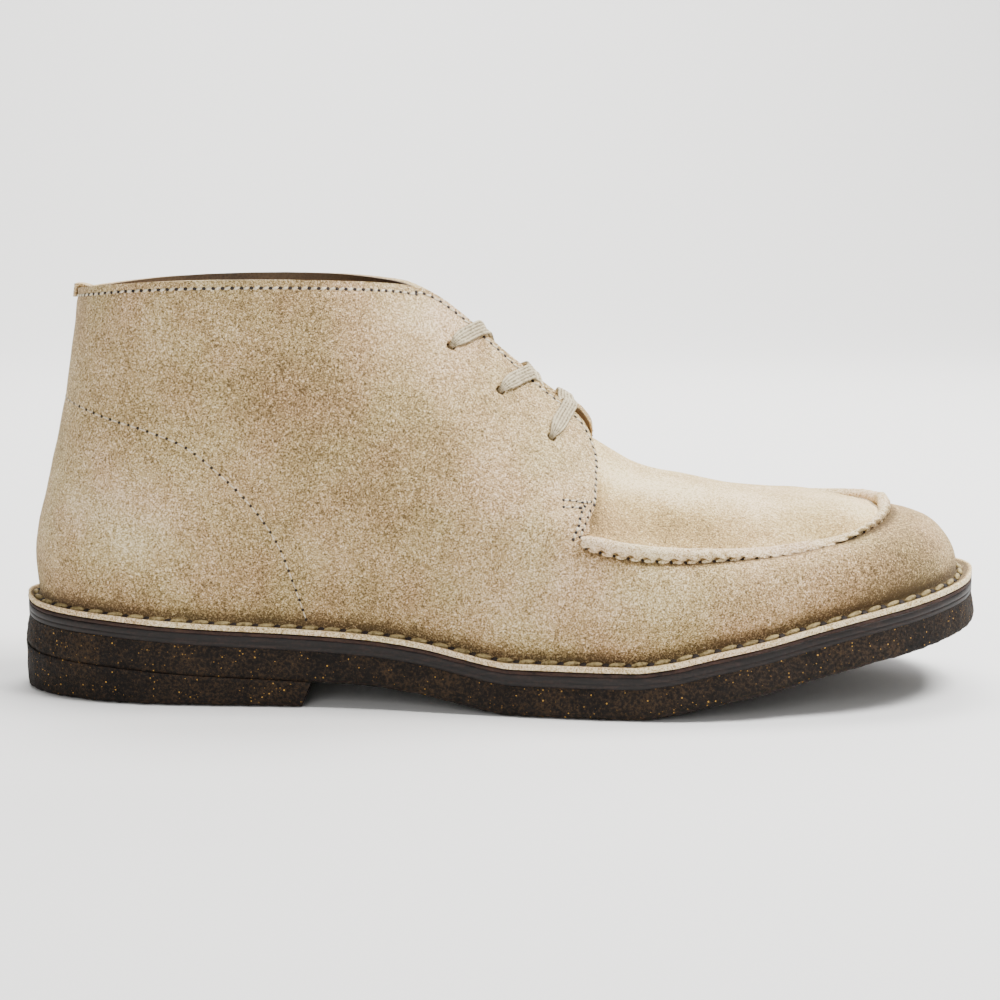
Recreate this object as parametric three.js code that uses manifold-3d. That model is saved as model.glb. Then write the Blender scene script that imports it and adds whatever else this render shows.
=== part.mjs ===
// A suede chukka boot for the right foot: moccasin apron, three pairs of punched eyelets, crepe sole.
// The upper is a hollow shell whose foot is turned out over the sole edge and stitched down.
// Millimetres. +X runs from heel to toe, +Y to the inner (medial) side, +Z up.
// The origin is the middle of the heel's flat tread, on the floor.

import * as THREE from 'three'
import { mergeVertices } from 'three/addons/utils/BufferGeometryUtils.js'
import Module from 'manifold-3d'

const wasm = await Module()
wasm.setup()

// Sole
// Every place along the shoe is a share of this length; the sole ends a millimetre inside it.
const SHOE_LENGTH = 305
const BALL_WIDTH = 107
const HEEL_WIDTH = 70
const HEEL_LENGTH = 92
const HEEL_LIFT = 8.4
const BREAST_LEAN = 3
const TOE_SPRING = 22
const CREPE_THICKNESS = 9.3
const BAND_THICKNESS = 3.2
const SIDE_FLARE = 1.2
const EDGE_ROUND = 1.8
const GAP = 0.3

// Upper
const UPPER_HEIGHT = 103
const LAST_WIDTH = 108
const WALL = 2.2
const FLANGE_THICKNESS = 2.9
const FLANGE_REVEAL_HEEL = 3.6
const FLANGE_REVEAL_TOE = 5
const PLUG_WALL = 2
const PLUG_TUCK = 0.8
const BEAD_WIDTH = 3.6
const BEAD_HEIGHT = 4.6
// Shares of the bead's height that it stands off the seam, and sinks below it at its two ends.
const BEAD_STAND = 0.12
const BEAD_END_SINK = 0.1
const BEAD_SETTLE = 0.08
const EYELET_BORE = 3.2
const EYELET_SETBACK = 16

// Inside and lacing
const INSOLE_THICKNESS = 3
const TONGUE_THICKNESS = 2
const TONGUE_WING = 17
const TONGUE_SAG = 2
const TONGUE_CLEARANCE = 0.5
const LACE_WIDTH = 5
const LACE_THICKNESS = 1.2
const LACE_CLEARANCE = 0.4
const LACE_EDGE_LIFT = 1.2
// How far short of the other facing a crossing lace ends, and how soon it lies flat past its own.
const CROSS_SHORT = 0.18
const CROSS_PAST = 0.2
const CROSS_DIP = 0.35

// Plan outline of the sole: each row's place along the length, and how far each side reaches
// from the middle line as a share of half the heel width or half the ball width.
const HEEL_OUTLINE = [
  { along: 0.003, lateral: 0, medial: 0 },
  { along: 0.013, lateral: 0.34, medial: 0.34 },
  { along: 0.04, lateral: 0.6, medial: 0.6 },
  { along: 0.085, lateral: 0.815, medial: 0.8 },
  { along: 0.14, lateral: 0.943, medial: 0.915 },
  { along: 0.21, lateral: 1, medial: 0.957 },
  { along: 0.28, lateral: 1.03, medial: 0.943 },
]
const FORE_OUTLINE = [
  { along: 0.35, lateral: 0.71, medial: 0.6 },
  { along: 0.42, lateral: 0.776, medial: 0.61 },
  { along: 0.49, lateral: 0.86, medial: 0.665 },
  { along: 0.56, lateral: 0.935, medial: 0.766 },
  { along: 0.62, lateral: 0.981, medial: 0.879 },
  { along: 0.68, lateral: 1, medial: 0.972 },
  { along: 0.74, lateral: 0.972, medial: 1.01 },
  { along: 0.8, lateral: 0.888, medial: 0.99 },
  { along: 0.86, lateral: 0.805, medial: 0.91 },
  { along: 0.91, lateral: 0.68, medial: 0.785 },
  { along: 0.948, lateral: 0.52, medial: 0.63 },
  { along: 0.978, lateral: 0.31, medial: 0.43 },
  { along: 0.995, lateral: -0.065, medial: 0.065 },
]

// Height of the sole's underside, as shares of the heel lift and of the toe spring.
const SOLE_RISE = [
  { along: 0, heel: 1.75, toe: 0 },
  { along: 0.03, heel: 1.52, toe: 0 },
  { along: 0.1, heel: 1.36, toe: 0 },
  { along: 0.2, heel: 1.12, toe: 0 },
  { along: 0.3, heel: 0.97, toe: 0 },
  { along: 0.37, heel: 0.82, toe: 0 },
  { along: 0.42, heel: 0.6, toe: 0 },
  { along: 0.46, heel: 0.3, toe: 0 },
  { along: 0.49, heel: 0.08, toe: 0 },
  { along: 0.51, heel: 0, toe: 0 },
  { along: 0.625, heel: 0, toe: 0 },
  { along: 0.66, heel: 0, toe: 0.06 },
  { along: 0.7, heel: 0, toe: 0.185 },
  { along: 0.77, heel: 0, toe: 0.38 },
  { along: 0.81, heel: 0, toe: 0.51 },
  { along: 0.86, heel: 0, toe: 0.66 },
  { along: 0.915, heel: 0, toe: 0.79 },
  { along: 0.955, heel: 0, toe: 0.885 },
  { along: 1, heel: 0, toe: 1 },
]

// Lines drawn round the last. foot is the place along the sole where a rib of the upper starts;
// along, lateral, medial and up say where that rib meets the line, as shares of the sole length,
// half the last width and the upper's height above its seat.
const BELLY_LINE = [
  { foot: 0, along: 0.0164, lateral: 0, medial: 0, up: 0.136 },
  { foot: 0.04, along: 0.048, lateral: 0.357, medial: 0.352, up: 0.141 },
  { foot: 0.085, along: 0.09, lateral: 0.481, medial: 0.472, up: 0.15 },
  { foot: 0.14, along: 0.141, lateral: 0.561, medial: 0.543, up: 0.16 },
  { foot: 0.21, along: 0.21, lateral: 0.598, medial: 0.58, up: 0.165 },
  { foot: 0.28, along: 0.28, lateral: 0.62, medial: 0.574, up: 0.165 },
  { foot: 0.35, along: 0.351, lateral: 0.648, medial: 0.565, up: 0.16 },
  { foot: 0.42, along: 0.42, lateral: 0.704, medial: 0.574, up: 0.15 },
  { foot: 0.49, along: 0.489, lateral: 0.778, medial: 0.611, up: 0.136 },
  { foot: 0.56, along: 0.557, lateral: 0.848, medial: 0.694, up: 0.121 },
  { foot: 0.62, along: 0.618, lateral: 0.894, medial: 0.796, up: 0.112 },
  { foot: 0.68, along: 0.679, lateral: 0.913, medial: 0.88, up: 0.107 },
  { foot: 0.74, along: 0.739, lateral: 0.889, medial: 0.917, up: 0.102 },
  { foot: 0.8, along: 0.797, lateral: 0.813, medial: 0.898, up: 0.097 },
  { foot: 0.86, along: 0.854, lateral: 0.73, medial: 0.82, up: 0.087 },
  { foot: 0.91, along: 0.9, lateral: 0.605, medial: 0.695, up: 0.073 },
  { foot: 0.95, along: 0.937, lateral: 0.44, medial: 0.54, up: 0.058 },
  { foot: 0.98, along: 0.963, lateral: 0.225, medial: 0.34, up: 0.047 },
  { foot: 1, along: 0.9725, lateral: -0.065, medial: 0.065, up: 0.041 },
]
const SHOULDER_LINE = [
  { foot: 0, along: 0.0197, lateral: 0, medial: 0, up: 0.212 },
  { foot: 0.04, along: 0.051, lateral: 0.356, medial: 0.352, up: 0.218 },
  { foot: 0.085, along: 0.092, lateral: 0.489, medial: 0.478, up: 0.233 },
  { foot: 0.14, along: 0.143, lateral: 0.572, medial: 0.554, up: 0.243 },
  { foot: 0.21, along: 0.21, lateral: 0.615, medial: 0.593, up: 0.248 },
  { foot: 0.28, along: 0.279, lateral: 0.643, medial: 0.593, up: 0.248 },
  { foot: 0.35, along: 0.349, lateral: 0.676, medial: 0.593, up: 0.248 },
  { foot: 0.42, along: 0.418, lateral: 0.728, medial: 0.607, up: 0.248 },
  { foot: 0.49, along: 0.486, lateral: 0.793, medial: 0.644, up: 0.248 },
  { foot: 0.56, along: 0.554, lateral: 0.852, medial: 0.713, up: 0.243 },
  { foot: 0.62, along: 0.614, lateral: 0.881, medial: 0.8, up: 0.223 },
  { foot: 0.68, along: 0.672, lateral: 0.88, medial: 0.87, up: 0.209 },
  { foot: 0.74, along: 0.73, lateral: 0.846, medial: 0.893, up: 0.199 },
  { foot: 0.8, along: 0.787, lateral: 0.769, medial: 0.867, up: 0.189 },
  { foot: 0.86, along: 0.843, lateral: 0.685, medial: 0.785, up: 0.18 },
  { foot: 0.91, along: 0.887, lateral: 0.56, medial: 0.66, up: 0.17 },
  { foot: 0.95, along: 0.922, lateral: 0.4, medial: 0.5, up: 0.16 },
  { foot: 0.98, along: 0.944, lateral: 0.2, medial: 0.31, up: 0.153 },
  { foot: 1, along: 0.953, lateral: -0.063, medial: 0.063, up: 0.151 },
]
// The waist line becomes the apron's seam from APRON_START on, where the inner side runs higher.
const APRON_START = 0.585
const WAIST_LINE = [
  { foot: 0, along: 0.027, lateral: 0, medial: 0, up: 0.301 },
  { foot: 0.04, along: 0.057, lateral: 0.344, medial: 0.339, up: 0.311 },
  { foot: 0.085, along: 0.097, lateral: 0.478, medial: 0.463, up: 0.326 },
  { foot: 0.14, along: 0.146, lateral: 0.567, medial: 0.546, up: 0.337 },
  { foot: 0.21, along: 0.211, lateral: 0.615, medial: 0.593, up: 0.343 },
  { foot: 0.28, along: 0.279, lateral: 0.648, medial: 0.602, up: 0.346 },
  { foot: 0.35, along: 0.348, lateral: 0.685, medial: 0.611, up: 0.347 },
  { foot: 0.42, along: 0.415, lateral: 0.733, medial: 0.63, up: 0.353 },
  { foot: 0.49, along: 0.482, lateral: 0.785, medial: 0.667, up: 0.365 },
  { foot: 0.545, along: 0.536, lateral: 0.815, medial: 0.709, up: 0.369 },
  { foot: 0.585, along: 0.577, lateral: 0.82, medial: 0.733, up: 0.356, medialUp: 0.364 },
  { foot: 0.62, along: 0.61, lateral: 0.807, medial: 0.769, up: 0.33, medialUp: 0.354 },
  { foot: 0.68, along: 0.664, lateral: 0.778, medial: 0.815, up: 0.295, medialUp: 0.34 },
  { foot: 0.74, along: 0.718, lateral: 0.737, medial: 0.82, up: 0.258, medialUp: 0.316 },
  { foot: 0.8, along: 0.769, lateral: 0.68, medial: 0.787, up: 0.232, medialUp: 0.285 },
  { foot: 0.86, along: 0.818, lateral: 0.6, medial: 0.7, up: 0.216, medialUp: 0.262 },
  { foot: 0.91, along: 0.856, lateral: 0.48, medial: 0.575, up: 0.214, medialUp: 0.247 },
  { foot: 0.95, along: 0.881, lateral: 0.32, medial: 0.42, up: 0.219, medialUp: 0.24 },
  { foot: 0.98, along: 0.894, lateral: 0.15, medial: 0.25, up: 0.229, medialUp: 0.238 },
  { foot: 1, along: 0.898, lateral: -0.06, medial: 0.06, up: 0.234 },
]
// Ankle line and top line end at the apron's start, where the quarter's front edge comes down.
const ANKLE_LINE = [
  { foot: 0, along: 0.0485, lateral: 0, medial: 0, up: 0.568 },
  { foot: 0.04, along: 0.074, lateral: 0.32, medial: 0.315, up: 0.583 },
  { foot: 0.085, along: 0.11, lateral: 0.45, medial: 0.435, up: 0.6 },
  { foot: 0.14, along: 0.156, lateral: 0.537, medial: 0.519, up: 0.621 },
  { foot: 0.21, along: 0.218, lateral: 0.591, medial: 0.57, up: 0.641 },
  { foot: 0.28, along: 0.284, lateral: 0.615, medial: 0.583, up: 0.656 },
  { foot: 0.35, along: 0.352, lateral: 0.619, medial: 0.583, up: 0.663 },
  { foot: 0.42, along: 0.418, lateral: 0.595, medial: 0.56, up: 0.664 },
  { foot: 0.49, along: 0.487, lateral: 0.565, medial: 0.53, up: 0.644 },
  { foot: 0.52, along: 0.519, lateral: 0.55, medial: 0.515, up: 0.606 },
  { foot: 0.545, along: 0.55, lateral: 0.55, medial: 0.519, up: 0.566 },
  { foot: 0.565, along: 0.575, lateral: 0.565, medial: 0.535, up: 0.496 },
  { foot: 0.575, along: 0.581, lateral: 0.685, medial: 0.63, up: 0.459 },
]
const TOP_LINE = [
  { foot: 0, along: 0.069, lateral: 0, medial: 0, up: 0.944 },
  { foot: 0.04, along: 0.093, lateral: 0.311, medial: 0.311, up: 0.958 },
  { foot: 0.085, along: 0.128, lateral: 0.467, medial: 0.467, up: 0.976 },
  { foot: 0.14, along: 0.17, lateral: 0.565, medial: 0.561, up: 0.992 },
  { foot: 0.21, along: 0.226, lateral: 0.615, medial: 0.611, up: 1.006 },
  { foot: 0.28, along: 0.287, lateral: 0.611, medial: 0.607, up: 1.014 },
  { foot: 0.33, along: 0.333, lateral: 0.552, medial: 0.546, up: 1.018 },
  { foot: 0.375, along: 0.374, lateral: 0.417, medial: 0.413, up: 1.019 },
  { foot: 0.41, along: 0.405, lateral: 0.25, medial: 0.246, up: 1.017 },
  { foot: 0.435, along: 0.43, lateral: 0.163, medial: 0.159, up: 1.006, medialUp: 0.996 },
  { foot: 0.46, along: 0.459, lateral: 0.148, medial: 0.144, up: 0.965, medialUp: 0.953 },
  { foot: 0.49, along: 0.493, lateral: 0.148, medial: 0.144, up: 0.898, medialUp: 0.887 },
  { foot: 0.52, along: 0.531, lateral: 0.148, medial: 0.144, up: 0.799 },
  { foot: 0.545, along: 0.566, lateral: 0.15, medial: 0.146, up: 0.712, medialUp: 0.722 },
  { foot: 0.558, along: 0.586, lateral: 0.167, medial: 0.163, up: 0.652, medialUp: 0.687 },
  { foot: 0.566, along: 0.596, lateral: 0.241, medial: 0.21, up: 0.583, medialUp: 0.637 },
  { foot: 0.573, along: 0.596, lateral: 0.407, medial: 0.36, up: 0.525, medialUp: 0.565 },
  { foot: 0.579, along: 0.593, lateral: 0.611, medial: 0.55, up: 0.453, medialUp: 0.475 },
]
// Crest of the plug, from under the facings to the toe. crown says how high the plug stands
// halfway between apron and crest, as a share of the rise between them.
const CREST_LINE = [
  { foot: 0.545, along: 0.551, medial: 0.037, up: 0.692, crown: 0.62 },
  { foot: 0.565, along: 0.575, medial: 0.037, up: 0.639, crown: 0.62 },
  { foot: 0.585, along: 0.602, medial: 0.037, up: 0.586, crown: 0.65 },
  { foot: 0.62, along: 0.638, medial: 0.056, up: 0.523, crown: 0.7 },
  { foot: 0.68, along: 0.692, medial: 0.074, up: 0.451, crown: 0.76 },
  { foot: 0.74, along: 0.743, medial: 0.102, up: 0.385, crown: 0.8 },
  { foot: 0.8, along: 0.789, medial: 0.12, up: 0.341, crown: 0.82 },
  { foot: 0.86, along: 0.83, medial: 0.12, up: 0.303, crown: 0.84 },
  { foot: 0.91, along: 0.859, medial: 0.102, up: 0.269, crown: 0.85 },
  { foot: 0.95, along: 0.879, medial: 0.083, up: 0.243, crown: 0.86 },
  { foot: 0.98, along: 0.889, medial: 0.065, up: 0.233, crown: 0.87 },
  { foot: 1, along: 0.893, medial: 0.06, up: 0.226, crown: 0.9 },
]

// Where the ribs that carry an eyelet start, from the bottom pair to the top pair.
const EYELET_FEET = [0.541, 0.498, 0.452]
// Where a lace crosses the facing's edge: the bar, then the two crosses on their near and far side.
const BAR_FOOT = 0.548
const CROSS_NEAR_FEET = [0.52, 0.48]
const CROSS_FAR_FEET = [0.54, 0.505]
const TONGUE_FOOT = 0.528
const TONGUE_TOP = 0.432

// Mesh fineness
const OUTLINE_STEPS = 46
const HEEL_STEPS = 14
const QUARTER_RIBS = 28
const FORE_RIBS = 18
const PLUG_RIBS = 21
const BEAD_RIBS = 41
const WALL_ROWS = [0, 0.4, 1, 1.5, 2, 2.5, 3]
const QUARTER_ROWS = [3.33, 3.67, 4, 4.33, 4.67, 4.85, 5]
const PLUG_ROWS = 6
const TONGUE_ROWS = 14
const TONGUE_SHARES = [1, 0.66, 0.33, 0]
const LACE_STEPS = 4
const BEAD_SIDES = 8
const ROUND_SIDES = 16

const COLOURS = {
  suede: { color: 0xb9a688, roughness: 0.95, metalness: 0 },
  crepe: { color: 0x4a382b, roughness: 0.9, metalness: 0 },
  band: { color: 0x3b2f30, roughness: 0.55, metalness: 0 },
  insole: { color: 0x9a6a42, roughness: 0.7, metalness: 0 },
  lace: { color: 0xb4aa94, roughness: 0.9, metalness: 0 },
}

const mix = THREE.MathUtils.lerp
const smoothstep = THREE.MathUtils.smoothstep
const placeX = (along) => along * SHOE_LENGTH - HEEL_LENGTH / 2
const shareX = (x) => (x + HEEL_LENGTH / 2) / SHOE_LENGTH

// Cubic through knots at uneven places. Limited slopes keep a flat stretch flat.
function curveValue(places, values, at, limited = false) {
  const last = places.length - 1
  const clamped = THREE.MathUtils.clamp(at, places[0], places[last])
  let k = 0
  while (k < last - 1 && places[k + 1] < clamped) k += 1
  const secant = (i) => (values[i + 1] - values[i]) / (places[i + 1] - places[i])
  const slope = (i) => {
    if (i === 0) return secant(0)
    if (i === last) return secant(last - 1)
    const before = secant(i - 1)
    const after = secant(i)
    if (limited) return before * after <= 0 ? 0 : 2 * before * after / (before + after)
    const width = places[i + 1] - places[i - 1]
    return (before * (places[i + 1] - places[i]) + after * (places[i] - places[i - 1])) / width
  }
  const width = places[k + 1] - places[k]
  const s = (clamped - places[k]) / width
  const rise = values[k + 1] - values[k]
  const a = slope(k) * width - rise
  const b = rise - slope(k + 1) * width
  return mix(values[k], values[k + 1], s) + s * (1 - s) * (a * (1 - s) + b * s)
}

function columnValue(rows, place, column, at) {
  return curveValue(rows.map((row) => row[place]), rows.map((row) => row[column]), at, true)
}

// Closed plan curve of the sole, from the heel's back along the lateral side, round the toe and back.
function outlineCurve() {
  const rows = [
    ...HEEL_OUTLINE.map((row) => ({ ...row, half: HEEL_WIDTH / 2 })),
    ...FORE_OUTLINE.map((row) => ({ ...row, half: BALL_WIDTH / 2 })),
  ]
  const lateral = rows.map((row) => new THREE.Vector3(placeX(row.along), -row.lateral * row.half, 0))
  const medial = rows.map((row) => new THREE.Vector3(placeX(row.along), row.medial * row.half, 0))
  const curve = new THREE.CatmullRomCurve3([...lateral, ...medial.slice(1, -1).reverse()], true)
  curve.arcLengthDivisions = 1200
  return curve
}
const SOLE_CURVE = outlineCurve()
const SHOE_LENGTHS = SOLE_CURVE.getLengths()
const TOE_SHARE = SHOE_LENGTHS[SHOE_LENGTHS.length >> 1] / SHOE_LENGTHS.at(-1)

// A point of the outline moved inwards. at runs from 0 at the heel's back to 1 at the toe on the
// lateral side, and to -1 on the medial side.
function outline(at, inset) {
  const around = at >= 0 ? at * TOE_SHARE : 1 + at * (1 - TOE_SHARE)
  const point = SOLE_CURVE.getPointAt(around)
  const tangent = SOLE_CURVE.getTangentAt(around)
  return new THREE.Vector3(point.x - tangent.y * inset, point.y + tangent.x * inset, 0)
}

// How far round one side the outline reaches a given x.
function roundAt(x, side = 1, inset = 0) {
  let low = 0
  let high = 1
  for (let step = 0; step < 40; step += 1) {
    const middle = (low + high) / 2
    if (outline(side * middle, inset).x < x) low = middle
    else high = middle
  }
  return (low + high) / 2
}

const bed = (x) => columnValue(SOLE_RISE, 'along', 'heel', shareX(x)) * HEEL_LIFT
  + columnValue(SOLE_RISE, 'along', 'toe', shareX(x)) * TOE_SPRING
const crepeTop = (x) => bed(x) + CREPE_THICKNESS
const bandFoot = (x) => crepeTop(x) + GAP
const bandTop = (x) => bandFoot(x) + BAND_THICKNESS
const flangeFoot = (x) => bandTop(x) + GAP
const seat = (x) => flangeFoot(x) + FLANGE_THICKNESS

function lastPoint(row, side) {
  const x = placeX(row.along)
  const half = LAST_WIDTH / 2
  const up = side < 0 && row.medialUp ? row.medialUp : row.up
  const y = side > 0 ? -row.lateral * half : row.medial * half
  return new THREE.Vector3(x, y, seat(x) + up * UPPER_HEIGHT)
}

// A line round the last through its rows, open at its front or closed round the toe.
function lastLine(rows, end) {
  const knots = []
  for (const side of [-1, 1]) {
    const list = rows.map((row) => ({ at: side * roundAt(placeX(row.foot)), point: lastPoint(row, side) }))
    list[0].at = 0
    if (end) list.push({ at: side * end.at, point: end.points[side] })
    else list.at(-1).at = side
    if (side < 0) knots.push(...list.slice(1).reverse())
    else knots.push(...list)
  }
  if (!end) {
    const before = knots.at(-2)
    const after = knots[1]
    knots.unshift({ at: before.at - 2, point: before.point })
    knots.push({ at: after.at + 2, point: after.point })
  }
  const places = knots.map((knot) => knot.at)
  const axes = ['x', 'y', 'z'].map((axis) => knots.map((knot) => knot.point[axis]))
  return (at) => new THREE.Vector3(...axes.map((values) => curveValue(places, values, at)))
}

const APRON_AT = roundAt(placeX(APRON_START))
const bellyLine = lastLine(BELLY_LINE)
const shoulderLine = lastLine(SHOULDER_LINE)
const waistLine = lastLine(WAIST_LINE)
const APRON_END = { at: APRON_AT, points: { 1: waistLine(APRON_AT), [-1]: waistLine(-APRON_AT) } }
const ankleLine = lastLine(ANKLE_LINE, APRON_END)
const topLine = lastLine(TOP_LINE, APRON_END)

// How far the feather edge lies inside the flange's edge: less at the heel than at the toe.
function reveal(at) {
  return mix(FLANGE_REVEAL_HEEL, FLANGE_REVEAL_TOE, smoothstep(Math.abs(at), 0.1, 0.5))
}

// Where the side wall rises from the flange.
function featherLine(at, drop = 0) {
  const point = outline(at, SIDE_FLARE + reveal(at))
  return point.setZ(seat(point.x) - drop)
}

const crestPlaces = CREST_LINE.map((row) => roundAt(placeX(row.foot)))
function crestLine(at) {
  const read = (column) => curveValue(crestPlaces, CREST_LINE.map((row) => row[column]), Math.abs(at))
  const x = placeX(read('along'))
  const point = new THREE.Vector3(x, read('medial') * LAST_WIDTH / 2, seat(x) + read('up') * UPPER_HEIGHT)
  return { point, crown: read('crown') }
}

// Point on a rib, from 0 at the feather edge, 3 at the waist line and 5 at the top line.
function ribPoint(at, row) {
  const stops = [featherLine(at), bellyLine(at), shoulderLine(at), waistLine(at)]
  if (Math.abs(at) <= APRON_AT) stops.push(ankleLine(at), topLine(at))
  const places = [0]
  for (let k = 1; k < stops.length; k += 1) {
    places.push(places[k - 1] + stops[k].distanceTo(stops[k - 1]) + 1e-6)
  }
  const k = Math.min(stops.length - 2, Math.floor(row))
  const place = mix(places[k], places[k + 1], row - k)
  const axes = ['x', 'y', 'z'].map((axis) => stops.map((stop) => stop[axis]))
  return new THREE.Vector3(...axes.map((values) => curveValue(places, values, place)))
}

function ribNormal(at, row) {
  const step = 0.004
  const inner = Math.min(Math.abs(at), APRON_AT - step) * Math.sign(at || 1)
  const down = row > step ? row - step : row
  const across = ribPoint(inner + step, row).sub(ribPoint(inner - step, row))
  const upward = ribPoint(inner, Math.min(row + step, 5)).sub(ribPoint(inner, down))
  return across.cross(upward).normalize()
}

// Row of a rib that lies a given way below its top edge, measured along the rib.
function rowBelowEdge(at, distance) {
  const steps = 60
  let way = 0
  let previous = ribPoint(at, 5)
  for (let step = 1; step <= steps; step += 1) {
    const row = 5 - 2 * step / steps
    const point = ribPoint(at, row)
    way += point.distanceTo(previous)
    if (way >= distance) return row
    previous = point
  }
  return 3
}

// Places round the last, spaced by how far the feather edge and the top line run between them.
function ribPlaces(from, to, count, lineA, lineB) {
  const fine = 400
  const ways = [0]
  for (let i = 1; i <= fine; i += 1) {
    const a = mix(from, to, (i - 1) / fine)
    const b = mix(from, to, i / fine)
    ways.push(ways.at(-1) + lineA(a).distanceTo(lineA(b)) + lineB(a).distanceTo(lineB(b)))
  }
  const places = []
  for (let k = 0; k <= count; k += 1) {
    const wanted = ways.at(-1) * k / count
    const i = Math.min(fine - 1, Math.max(0, ways.findIndex((way) => way >= wanted) - 1))
    const part = (wanted - ways[i]) / (ways[i + 1] - ways[i])
    places.push(mix(from, to, (i + part) / fine))
  }
  return places
}

// Triangles of quads, with doubles merged and empty triangles dropped.
function meshOf(quads) {
  const positions = []
  for (const [a, b, c, d] of quads) {
    for (const corner of d ? [a, b, c, a, c, d] : [a, b, c]) positions.push(...corner.toArray())
  }
  const loose = new THREE.BufferGeometry()
  loose.setAttribute('position', new THREE.Float32BufferAttribute(positions, 3))
  const merged = mergeVertices(loose, 1e-3)
  const index = merged.index.array
  const kept = []
  for (let i = 0; i < index.length; i += 3) {
    const [a, b, c] = index.slice(i, i + 3)
    if (a !== b && b !== c && c !== a) kept.push(a, b, c)
  }
  merged.setIndex(kept)
  return merged
}

// Quads between neighbouring rows of points.
function gridQuads(rows, closed = false) {
  const quads = []
  for (let j = 0; j + 1 < rows.length; j += 1) {
    const lower = rows[j]
    const upper = rows[j + 1]
    const count = closed ? lower.length : lower.length - 1
    for (let i = 0; i < count; i += 1) {
      const next = (i + 1) % lower.length
      quads.push([lower[i], lower[next], upper[next], upper[i]])
    }
  }
  return quads
}

// An open surface given a wall on its inner side.
function thicken(surface, wall) {
  surface.computeVertexNormals()
  const position = surface.getAttribute('position')
  const normal = surface.getAttribute('normal')
  const outer = []
  const inner = []
  for (let i = 0; i < position.count; i += 1) {
    const point = new THREE.Vector3().fromBufferAttribute(position, i)
    outer.push(point)
    inner.push(point.clone().addScaledVector(new THREE.Vector3().fromBufferAttribute(normal, i), -wall))
  }
  const index = surface.index.array
  const edges = new Set()
  for (let i = 0; i < index.length; i += 3) {
    for (let k = 0; k < 3; k += 1) edges.add(`${index[i + k]} ${index[i + (k + 1) % 3]}`)
  }
  const quads = []
  for (let i = 0; i < index.length; i += 3) {
    const [a, b, c] = index.slice(i, i + 3)
    quads.push([outer[a], outer[b], outer[c]], [inner[c], inner[b], inner[a]])
  }
  for (const edge of edges) {
    const [a, b] = edge.split(' ').map(Number)
    if (!edges.has(`${b} ${a}`)) quads.push([outer[b], outer[a], inner[a], inner[b]])
  }
  return meshOf(quads)
}

// Steps round one side of the outline, closer together at its two ends.
function outlineSteps(steps) {
  return Array.from({ length: steps + 1 }, (unused, i) => {
    const even = i / steps
    return (even + (1 - Math.cos(Math.PI * even)) / 2) / 2
  })
}

// A flat-topped piece that follows the sole: levels run from its lowest ring to its highest.
// front gives the x where the piece stops at each level, or nothing where it goes round the toe.
function plate(levels, steps, front) {
  const rings = levels.map(({ inset, height }, level) => {
    const reach = { 1: 1, [-1]: 1 }
    if (front) for (const side of [-1, 1]) reach[side] = roundAt(front[level], side, inset)
    const side = (sign) => outlineSteps(steps).map((share) => {
      const point = outline(sign * share * reach[sign], inset)
      return point.setZ(height(point.x))
    })
    return { lateral: side(1), medial: side(-1) }
  })
  const loops = rings.map(({ lateral, medial }) => [...lateral, ...medial.slice(1).reverse()])
  const lid = ({ lateral, medial }) => gridQuads([lateral, medial])
  const floor = lid(rings[0]).map((quad) => quad.reverse())
  return meshOf([...floor, ...gridQuads(loops, true), ...lid(rings.at(-1))])
}

// A strip or bead swept along points, with a section of half sizes across and along the normal.
function sweep(points, normals, halfWidth, halfHeight, sides) {
  const rings = points.map((point, k) => {
    const before = points[Math.max(0, k - 1)]
    const after = points[Math.min(points.length - 1, k + 1)]
    const tangent = after.clone().sub(before).normalize()
    const across = tangent.clone().cross(normals[k]).normalize()
    const up = across.clone().cross(tangent)
    return Array.from({ length: sides }, (unused, i) => {
      const turn = 2 * Math.PI * (i + 0.5) / sides
      const round = sides > 4 ? 1 : Math.SQRT2
      return point.clone()
        .addScaledVector(across, Math.cos(turn) * halfWidth * round)
        .addScaledVector(up, Math.sin(turn) * halfHeight * round)
    })
  })
  const cap = (ring) => ring.slice(2).map((corner, i) => [ring[0], ring[i + 1], corner])
  const start = cap(rings[0])
  const end = cap(rings.at(-1)).map((corners) => corners.reverse())
  const body = gridQuads(rings, true).map((quad) => quad.reverse())
  return meshOf([...start, ...body, ...end])
}

function toSolid(geometry) {
  const vertProperties = new Float32Array(geometry.getAttribute('position').array)
  const triVerts = new Uint32Array(geometry.index.array)
  return new wasm.Manifold(new wasm.Mesh({ numProp: 3, vertProperties, triVerts }))
}

function toGeometry(solid) {
  const mesh = solid.getMesh()
  const geometry = new THREE.BufferGeometry()
  geometry.setAttribute('position', new THREE.Float32BufferAttribute(mesh.vertProperties, 3))
  geometry.setIndex(Array.from(mesh.triVerts))
  return geometry
}

const union = (geometries) => geometries.map(toSolid).reduce((a, b) => a.add(b))

// The outer skin of a solid: pockets shut in between leather layers are filled.
function withoutPockets(solid) {
  return solid.decompose().reduce((a, b) => (a.volume() > b.volume() ? a : b))
}

// Crepe sole: its side flares towards the floor and its bottom edge is rounded off.
function outsole() {
  return plate([
    { inset: EDGE_ROUND, height: bed },
    { inset: EDGE_ROUND * 0.3, height: (x) => bed(x) + EDGE_ROUND * 0.3 },
    { inset: 0, height: (x) => bed(x) + EDGE_ROUND },
    { inset: SIDE_FLARE, height: crepeTop },
  ], OUTLINE_STEPS)
}

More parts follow.
